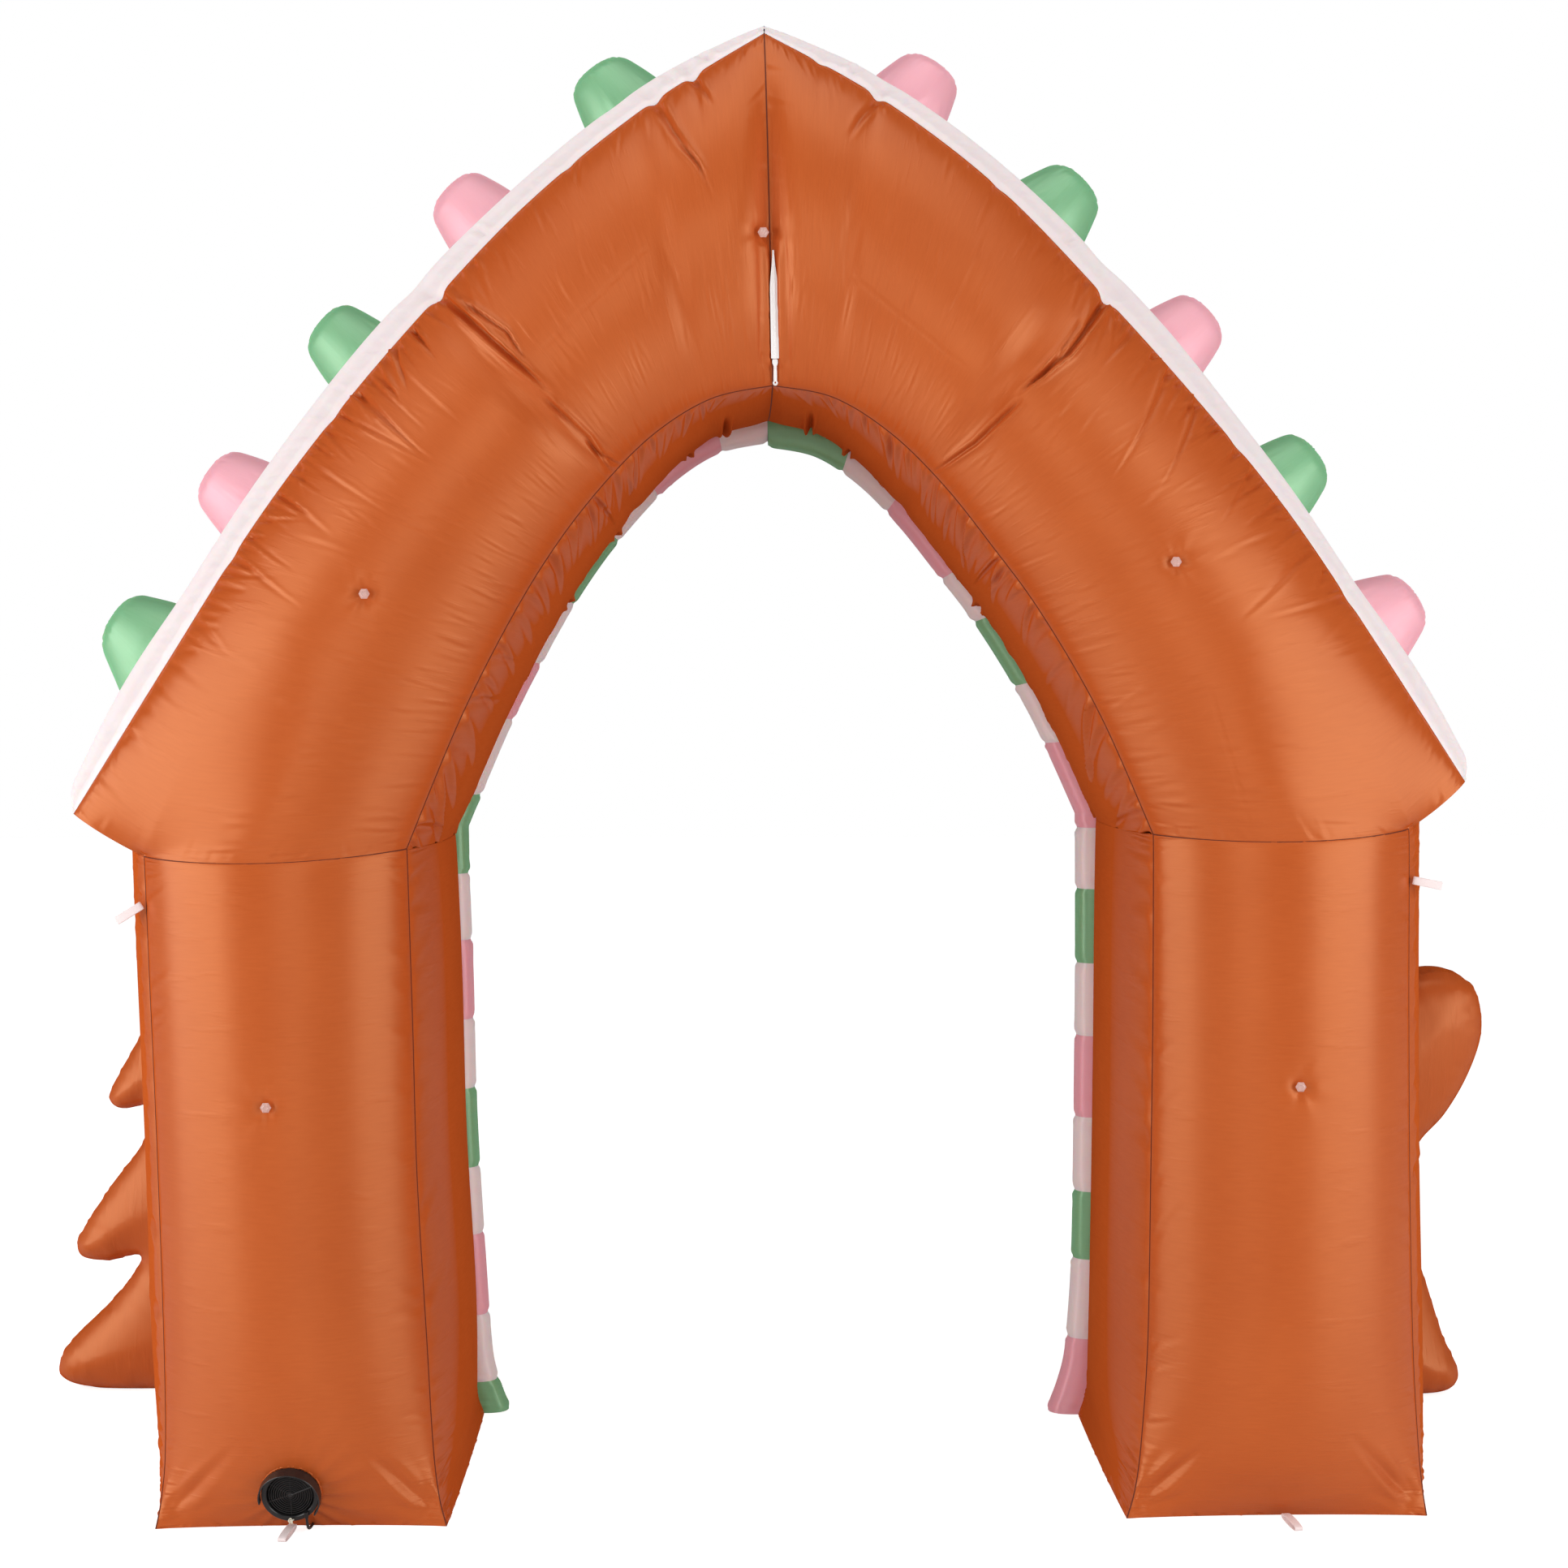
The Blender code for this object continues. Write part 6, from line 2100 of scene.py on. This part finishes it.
@dataclass
class Button:
    """Clear faceted button that holds two layers of cloth together."""

    node: str
    radius: float = 0.0086
    sides: int = 6

    def dress(self, wardrobe: Wardrobe) -> Pieces:
        """Build the button on its CAD node's place.

        Args:
            wardrobe: Source of materials.

        Returns:
            The dressed pieces.
        """
        corners = np.array(bpy.data.objects[self.node].bound_box)
        middle = 0.5 * (corners.min(0) + corners.max(0))
        centre = (middle[0], float(corners[:, 1].max()), middle[2])
        seat = Seat(centre, np.array(((1.0, 0.0, 0.0), (0.0, 0.0, 1.0), (0.0, -1.0, 0.0))))
        edge = self.radius
        bm = bmesh.new()
        seat.turned(bm, ((0.0, 0.0), (0.88 * edge, 0.0), (edge, 0.0009), (edge, 0.0021),
                         (0.74 * edge, 0.0040), (0.48 * edge, 0.0049), (0.36 * edge, 0.0043),
                         (0.0, 0.0040)), self.sides)
        piece = close_up(f"{self.node}_facets", bm, smooth=False)
        return [wardrobe.part(piece, "clear_plastic", self.node)]


@dataclass
class Zip:
    """White zip in the centre seam, with its slider and pull."""

    width: float = 0.012
    top: float = 1.998
    bottom: float = 1.838
    tooth: float = 0.0020
    tape_lift: float = 0.0095
    slider_lift: float = 0.0035

    def points(self, x: Array, z: Array, lift: Array) -> Array:
        """Places on the zip.

        Args:
            x: Distance across it from its middle.
            z: Heights.
            lift: Distance out of the valley of the centre seam.

        Returns:
            An array of 3-D points.
        """
        outer, inner = LEFT.arch[0][1], LEFT.arch[0][3]
        valley = LEFT.rear(np.zeros_like(z), (outer - z) / (outer - inner))[:, 1]
        return points_of(zip_x(z) + x, valley - lift, z)

    def tape(self) -> Piece:
        """Build the tape with its closed chain.

        Returns:
            The piece.
        """
        section = np.array(((-0.5, 0.0), (-0.22, 0.0), (-0.17, 1.0), (-0.03, 1.0), (0.03, 1.0), (0.17, 1.0),
                            (0.22, 0.0), (0.5, 0.0), (0.5, -1.0), (-0.5, -1.0), (-0.5, 0.0)))
        rows = int((self.top - self.bottom) / self.tooth * 4)

        def place(u: Array, v: Array) -> Array:
            index = np.rint(u * (len(section) - 1)).astype(int)
            z = mix(self.bottom, self.top, v)
            wide = self.width * mix(1.0, 0.22, ease((v - 0.62) / 0.38))
            end = (v < 1e-4) | (v > 1.0 - 1e-4)
            x = section[index, 0] * wide * (1.0 - end)
            wave = 0.75 + 0.25 * np.cos(2.0 * np.pi * (z - self.bottom) / self.tooth)
            chain = np.where(section[index, 1] > 0.0, 0.0010 * wave, 0.0012 * section[index, 1])
            return self.points(x, z, self.tape_lift - 0.0004 + chain * (1.0 - end))

        bm = bmesh.new()
        mould(bm, len(section) - 1, rows, place)
        return close_up("zip_tape_woven", bm)

    def slider(self) -> Piece:
        """Build the slider's body and its drop-shaped pull with a hole.

        Returns:
            The piece.
        """
        bm = bmesh.new()
        body = np.array(((0.0005, 0.0040), (0.0030, 0.0046), (0.0060, 0.0044), (0.0080, 0.0036),
                         (0.0105, 0.0024), (0.0130, 0.0026)))
        count = len(body)

        def body_place(u: Array, v: Array) -> Array:
            step = np.rint(v * (count + 1)).astype(int)
            index = np.clip(step - 1, 0, count - 1)
            angle = 2.0 * np.pi * u
            full = (step > 0) & (step < count + 1)
            x = body[index, 1] * np.sign(np.cos(angle)) * np.abs(np.cos(angle)) ** 0.5 * full
            lift = 0.0023 * np.sign(np.sin(angle)) * np.abs(np.sin(angle)) ** 0.5 * full
            return self.points(x, self.bottom - body[index, 0], self.slider_lift + 0.0024 + lift)

        mould(bm, 24, count + 1, body_place)
        hole, end, reach, neck = 0.0013, 0.0042, 0.0225, 0.0027
        section = ((0.0, -0.5), (1.0, -0.5), (1.0, 0.5), (0.0, 0.5), (0.0, -0.5))

        def pull_place(u: Array, v: Array) -> Array:
            index = np.rint(v * 4).astype(int)
            angle = 2.0 * np.pi * u
            up = np.maximum(np.sin(angle), 0.0)
            side = np.maximum(np.abs(np.cos(angle)), 1e-6)
            half = mix(end, neck, np.clip(up * 1.6, 0.0, 1.0))
            edge = np.where(up > 0.0, np.minimum(half / side, reach / np.maximum(up, 1e-6)), end)
            radius = np.where(np.array([row[0] for row in section])[index] > 0.5, edge, hole)
            thick = 0.0018 * np.array([row[1] for row in section])[index]
            z = self.bottom - 0.0338 + radius * np.sin(angle)
            return self.points(radius * np.cos(angle), z, self.slider_lift + 0.0022 + thick)

        mould(bm, 64, 4, pull_place)
        return close_up("zip_slider_pull", bm)

    def dress(self, wardrobe: Wardrobe) -> Pieces:
        """Build the zip and give it its material."""
        return [wardrobe.part(self.tape(), "white_zip", "zip_tape"),
                wardrobe.part(self.slider(), "white_zip", "zip_slider")]


@dataclass
class Loop:
    """Webbing folded back on itself into a narrow loop."""

    node: str
    root: Tuple[float, float, float]
    outward: Tuple[float, float, float]
    flat: Tuple[float, float, float]
    length: float
    width: float = 0.013
    thickness: float = 0.0016
    gap: float = 0.009

    def dress(self, wardrobe: Wardrobe) -> Pieces:
        """Build the loop and give it its webbing.

        Args:
            wardrobe: Source of materials.

        Returns:
            The dressed pieces.
        """
        out, flat = unit(np.array([self.outward, self.flat]))
        side = np.cross(out, flat)
        section = np.array(((-0.46, -0.5), (0.0, -0.55), (0.46, -0.5), (0.5, 0.0), (0.46, 0.5), (0.0, 0.55),
                            (-0.46, 0.5), (-0.5, 0.0), (-0.46, -0.5)))

        def place(u: Array, v: Array) -> Array:
            angle = 2.0 * np.pi * u
            reach = 0.5 * self.length * (1.0 - np.cos(angle))
            half = 0.5 * self.gap * np.sign(np.sin(angle)) * np.abs(np.sin(angle)) ** 0.6
            run = unit(np.stack((0.5 * self.length * np.sin(angle), 0.5 * self.gap * np.cos(angle)), axis=1))
            index = np.rint(v * (len(section) - 1)).astype(int)
            ribs = 1.0 + 0.10 * np.cos(2.0 * np.pi * u * 60.0)
            thick = section[index, 1] * self.thickness * ribs
            wide = section[index, 0] * self.width
            outward, sideways = reach + run[:, 1] * thick, half - run[:, 0] * thick
            return (np.array(self.root) + wide[:, None] * flat + outward[:, None] * out
                    + sideways[:, None] * side)

        bm = bmesh.new()
        mould(bm, 240, len(section) - 1, place)
        piece = close_up(f"{self.node}_webbing", bm)
        return [wardrobe.part(piece, "webbing", self.node)]


LOOPS = [
    Loop("tie_loop_upper_left", (-1.007, -0.338, 0.985), (-0.85, 0.0, -0.53), (-0.53, 0.0, 0.85), 0.046),
    Loop("tie_loop_upper_right", (1.009, -0.338, 1.020), (0.98, 0.0, -0.20), (0.20, 0.0, 0.98), 0.046),
    Loop("tie_loop_foot_left", (-0.772, -0.384, 0.0061), (-0.10, -1.0, 0.0), (1.0, -0.10, 0.0), 0.060),
    Loop("tie_loop_foot_right", (0.805, -0.378, 0.0061), (0.12, -1.0, 0.0), (1.0, 0.12, 0.0), 0.060),
]
BUTTONS = [Button(name) for name in ("button_peak", "button_roof_left", "button_roof_right",
                                     "button_leg_left", "button_leg_right")]
CORD_ROUTE = (
    (-0.7452, -0.4096, 0.0268), (-0.7450, -0.4066, 0.0180), (-0.7448, -0.4010, 0.0098),
    (-0.7445, -0.3925, 0.0050), (-0.7440, -0.3800, 0.0031), (-0.7430, -0.3600, 0.0030),
    (-0.7420, -0.3100, 0.0030), (-0.7450, -0.2000, 0.0030), (-0.7530, -0.0500, 0.0030),
    (-0.7500, 0.0800, 0.0030), (-0.7505, 0.1450, 0.0030), (-0.7530, 0.1720, 0.0032),
    (-0.7595, 0.1920, 0.0038), (-0.7686, 0.2070, 0.0045),
)


@dataclass
class Lead:
    """The blower's lead: out of the cup, under the leg and into a wound coil with its plug."""

    length: float = 1.75
    diameter: float = 0.0045
    centre: Tuple[float, float] = (-0.800, 0.222)
    coil_radius: float = 0.0261
    last_turn: float = 2500.0
    exit_bend: float = 0.016
    # half diameters out from the middle of the ring, and layer, of each turn in winding order
    places: Tuple[Tuple[int, int], ...] = ((2, 1), (1, 2), (-1, 2), (0, 1), (-2, 1), (-3, 0), (-1, 0),
                                           (1, 0))

    def wound(self, turned: float) -> Tuple[float, float, float]:
        """Place on the coil after a number of degrees.

        Args:
            turned: Degrees from +X that the lead has gone round.

        Returns:
            The place.
        """
        moves = len(self.places) - 1
        step = sum(float(ease((turned - 205.0 - 330.0 * k) / 70.0)) for k in range(moves))
        index = min(int(step), moves - 1)
        out, layer = mix(np.array(self.places[index]), np.array(self.places[index + 1]), step - index)
        radius = self.coil_radius + 0.5 * self.diameter * out
        radius -= 0.0014 * (1.0 - float(ease((turned + 6.5) / 40.0)))
        height = self.diameter * (0.5 + 0.5 * math.sqrt(3.0) * layer)
        height += 0.0009 * float(bump(turned, 0.0, 28.0)) + 0.0006 * float(bump(turned, 355.0, 30.0))
        angle = math.radians(turned)
        return (self.centre[0] + radius * math.cos(angle), self.centre[1] + radius * math.sin(angle), height)

    def path(self) -> Array:
        """Whole centreline of the lead, on a smooth curve through its route.

        Returns:
            The points.
        """
        x, y = self.centre
        knots = list(CORD_ROUTE) + [(x + 0.0292, y - 0.0094, 0.0059), (x + 0.0289, y - 0.0033, 0.0069)]
        knots += [self.wound(turned) for turned in np.arange(12.0, self.last_turn + 1.0, 15.0)]
        end = np.array(knots[-1])
        heading = math.radians(self.last_turn % 360.0 + 90.0)
        middle = end[:2] + self.exit_bend * np.array((math.sin(heading), -math.cos(heading)))
        for share in (0.33, 0.66, 1.0):
            turn = mix(heading, heading - math.radians(50.0), share)
            spot = middle + self.exit_bend * np.array((-math.sin(turn), math.cos(turn)))
            knots.append((spot[0], spot[1], end[2] + 0.0006 * share))
        known = np.array([knots[0]] + knots + [knots[-1]])
        steps = np.linspace(0.0, 1.0, 4, endpoint=False)[:, None]
        points = [spline(*four, steps) for four in zip(known, known[1:], known[2:], known[3:])]
        return np.concatenate(points + [known[-1:]])

    def cord(self) -> Piece:
        """Build the lead as a round curve.

        Returns:
            The piece.
        """
        path = self.path()
        curve = bpy.data.curves.new("blower_lead", "CURVE")
        curve.dimensions = "3D"
        curve.bevel_depth = 0.5 * self.diameter
        curve.bevel_resolution = 3
        curve.use_fill_caps = True
        spline = curve.splines.new("POLY")
        spline.points.add(len(path) - 1)
        for target, point in zip(spline.points, path):
            target.co = (*point, 1.0)
        lead = bpy.data.objects.new("blower_lead", curve)
        bpy.context.scene.collection.objects.link(lead)
        return lead

    def relief(self) -> Piece:
        """Build the tapered, ribbed strain relief.

        Returns:
            The piece.
        """
        start, after = np.array(CORD_ROUTE[0]), np.array(CORD_ROUTE[1])
        out = unit((start - after)[None, :])[0]
        level = unit(np.cross(out, (0.0, 1.0, 0.0))[None, :])[0]
        seat = Seat(tuple(start + GAP * out), np.stack((level, np.cross(out, level), out)))
        profile = [(0.0, 0.0)]
        for k in range(4):
            low, wide = 0.0026 * k, 0.0026 + 0.0003 * k
            profile += [(wide, low), (wide + 0.0001, low + 0.0016), (wide - 0.0004, low + 0.0018),
                        (wide - 0.0004, low + 0.0024)]
        profile += [(0.0038, 0.0108), (0.0038, 0.0135), (0.0, 0.0135)]
        bm = bmesh.new()
        seat.turned(bm, profile, 32)
        return close_up("strain_relief_ribs", bm)

    def plug(self) -> Piece:
        """Build the round low-voltage connector with its ribbed tail and grip collar.

        Returns:
            The piece.
        """
        start = (self.centre[0] + 0.0331, self.centre[1], 0.0)
        seat = Seat(start, np.array(((0.0, 1.0, 0.0), (0.0, 0.0, 1.0), (1.0, 0.0, 0.0))))
        rows = [(0.0, 0.0), (0.0030, 0.0)]
        for k in range(4):
            low, wide = 0.0006 + 0.0038 * k, 0.0034 + 0.0007 * k
            rows += [(wide, low), (wide + 0.0002, low + 0.0024), (wide - 0.0007, low + 0.0026),
                     (wide - 0.0007, low + 0.0036)]
        rows += [(0.0060, 0.0165), (0.0067, 0.0215), (0.0068, 0.0325), (0.0062, 0.0332), (0.0062, 0.0342),
                 (0.0070, 0.0350), (0.0071, 0.0525), (0.0066, 0.0540), (0.0052, 0.0540), (0.0050, 0.0440),
                 (0.0024, 0.0440), (0.0024, 0.0520), (0.0012, 0.0520), (0.0011, 0.0450), (0.0, 0.0450)]
        middle = [max(0.0035, min(0.0072, 0.0035 + 0.0037 * float(ease(z / 0.030)))) for _, z in rows]
        first = len(rows) - 10
        bm = bmesh.new()
        seat.turned(bm, rows, 90, 18, (first, first + 1), middle)
        return close_up("lead_plug", bm)

    def dress(self, wardrobe: Wardrobe) -> Pieces:
        """Args:
            wardrobe: Source of materials.

        Returns:
            The dressed pieces.
        """
        lead = wardrobe.part(self.cord(), "black_plastic", "blower_cord", "blower_cord_coil")
        relief = wardrobe.part(self.relief(), "black_plastic", "strain_relief")
        plug = wardrobe.part(self.plug(), "black_plastic", "blower_plug")
        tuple(CORD_ROUTE[0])
        return [lead, relief, plug]


@dataclass
class Studio:
    """Pale floor, soft lights and the photo's camera."""

    camera_place: Tuple[float, float, float] = (-0.080, -3.83, 1.3557)
    pitch: float = 2.961
    yaw: float = 1.387
    lens: float = 50.8
    ambient: float = 0.33
    mirrored: float = 0.0
    floor_lift: float = 0.78
    backdrop: float = 1.0

    def build(self) -> None:
        """Set up the floor, the world, the lights and the camera."""
        bm = bmesh.new()
        bmesh.ops.create_grid(bm, x_segments=1, y_segments=1, size=14.0)
        floor = finish_mesh("floor", bm)
        floor.location.z = -0.0005
        material, tree, shader = start_material("floor_paper")
        seen = add_node(tree, "LightPath", {})
        lift = add_node(tree, "Math", {0: seen.outputs["Is Camera Ray"], 1: self.floor_lift},
                        operation="MULTIPLY")
        plug_in(tree, shader, {"Base Color": (0.80, 0.80, 0.80, 1.0), "Roughness": 1.0,
                               "Specular IOR Level": 0.0, "Emission Color": (1.0, 1.0, 1.0, 1.0),
                               "Emission Strength": lift.outputs["Value"]})
        floor.data.materials.append(material)
        self.sky()
        self.softbox("left_box", (-4.1, -2.2, 1.5), (-0.6, -0.3, 1.1), (3.3, 2.7), 112.0)
        self.softbox("right_box", (3.5, -2.8, 1.5), (0.6, -0.3, 1.1), (2.9, 2.7), 86.0)
        self.softbox("front_box", (-0.5, -4.7, 2.1), (0.0, -0.3, 1.5), (1.6, 2.4), 24.0)
        self.softbox("top_box", (0.0, -1.2, 4.4), (0.0, -0.2, 1.6), (3.4, 2.0), 34.0)
        data = bpy.data.cameras.new("photo_camera")
        data.lens = self.lens
        data.sensor_width = 36.0
        camera = bpy.data.objects.new("photo_camera", data)
        camera.location = self.camera_place
        camera.rotation_euler = (math.radians(90.0 - self.pitch), 0.0, math.radians(-self.yaw))
        bpy.context.scene.collection.objects.link(camera)
        bpy.context.scene.camera = camera

    def sky(self) -> None:
        """White backdrop that lights the piece less than it shows."""
        world = bpy.data.worlds.new("studio_world")
        world.use_nodes = True
        tree = world.node_tree
        seen = add_node(tree, "LightPath", {})
        dim = add_node(tree, "MapRange", {"Value": seen.outputs["Is Glossy Ray"],
                                          "To Min": self.ambient, "To Max": self.mirrored})
        level = add_node(tree, "MapRange", {"Value": seen.outputs["Is Camera Ray"],
                                            "To Min": dim.outputs["Result"],
                                            "To Max": self.backdrop})
        plug_in(tree, tree.nodes["Background"], {"Color": (1.0, 1.0, 1.0, 1.0),
                                                 "Strength": level.outputs["Result"]})
        bpy.context.scene.world = world
        bpy.context.scene.view_settings.view_transform = "Standard"

    def softbox(self, name: str, place: Sequence[float], aim: Sequence[float],
                size: Tuple[float, float], power: float) -> None:
        """Add one soft light.

        Args:
            name: Its name.
            place: Where it stands.
            aim: Point it faces.
            size: Its width and height.
            power: Its power in watts.
        """
        data = bpy.data.lights.new(name, "AREA")
        data.shape = "RECTANGLE"
        data.size, data.size_y = size
        data.energy = power
        lamp = bpy.data.objects.new(name, data)
        lamp.location = place
        direction = Vector(aim) - Vector(place)
        lamp.rotation_euler = direction.to_track_quat("-Z", "Y").to_euler()
        bpy.context.scene.collection.objects.link(lamp)


def main() -> None:
    """Build the archway's looks and report the pieces."""
    logging.basicConfig(level=logging.INFO)
    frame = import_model()
    wardrobe = Wardrobe()
    Studio().build()
    parts: List[object] = [Lead()]
    for side in SIDES:
        parts += [Gable(side), RoofBand(side), Leg(side)]
        parts += [Gumdrop(side, k, place) for k, place in enumerate(GUMDROPS[side.name], 1)]
    parts += seams() + BORDERS + [TREE, GINGERBREAD, Blower(), Zip()] + BUTTONS + LOOPS
    for part in parts:
        for piece in part.dress(wardrobe):
            if piece.type == "MESH":
                log.info("%s: %d faces", piece.name, len(piece.data.polygons))
    left = [name for name, node in frame["nodes"].items() if not node.hide_render]
    log.info("CAD nodes still shown: %s", ", ".join(left) or "none")


if __name__ == "__main__":
    main()
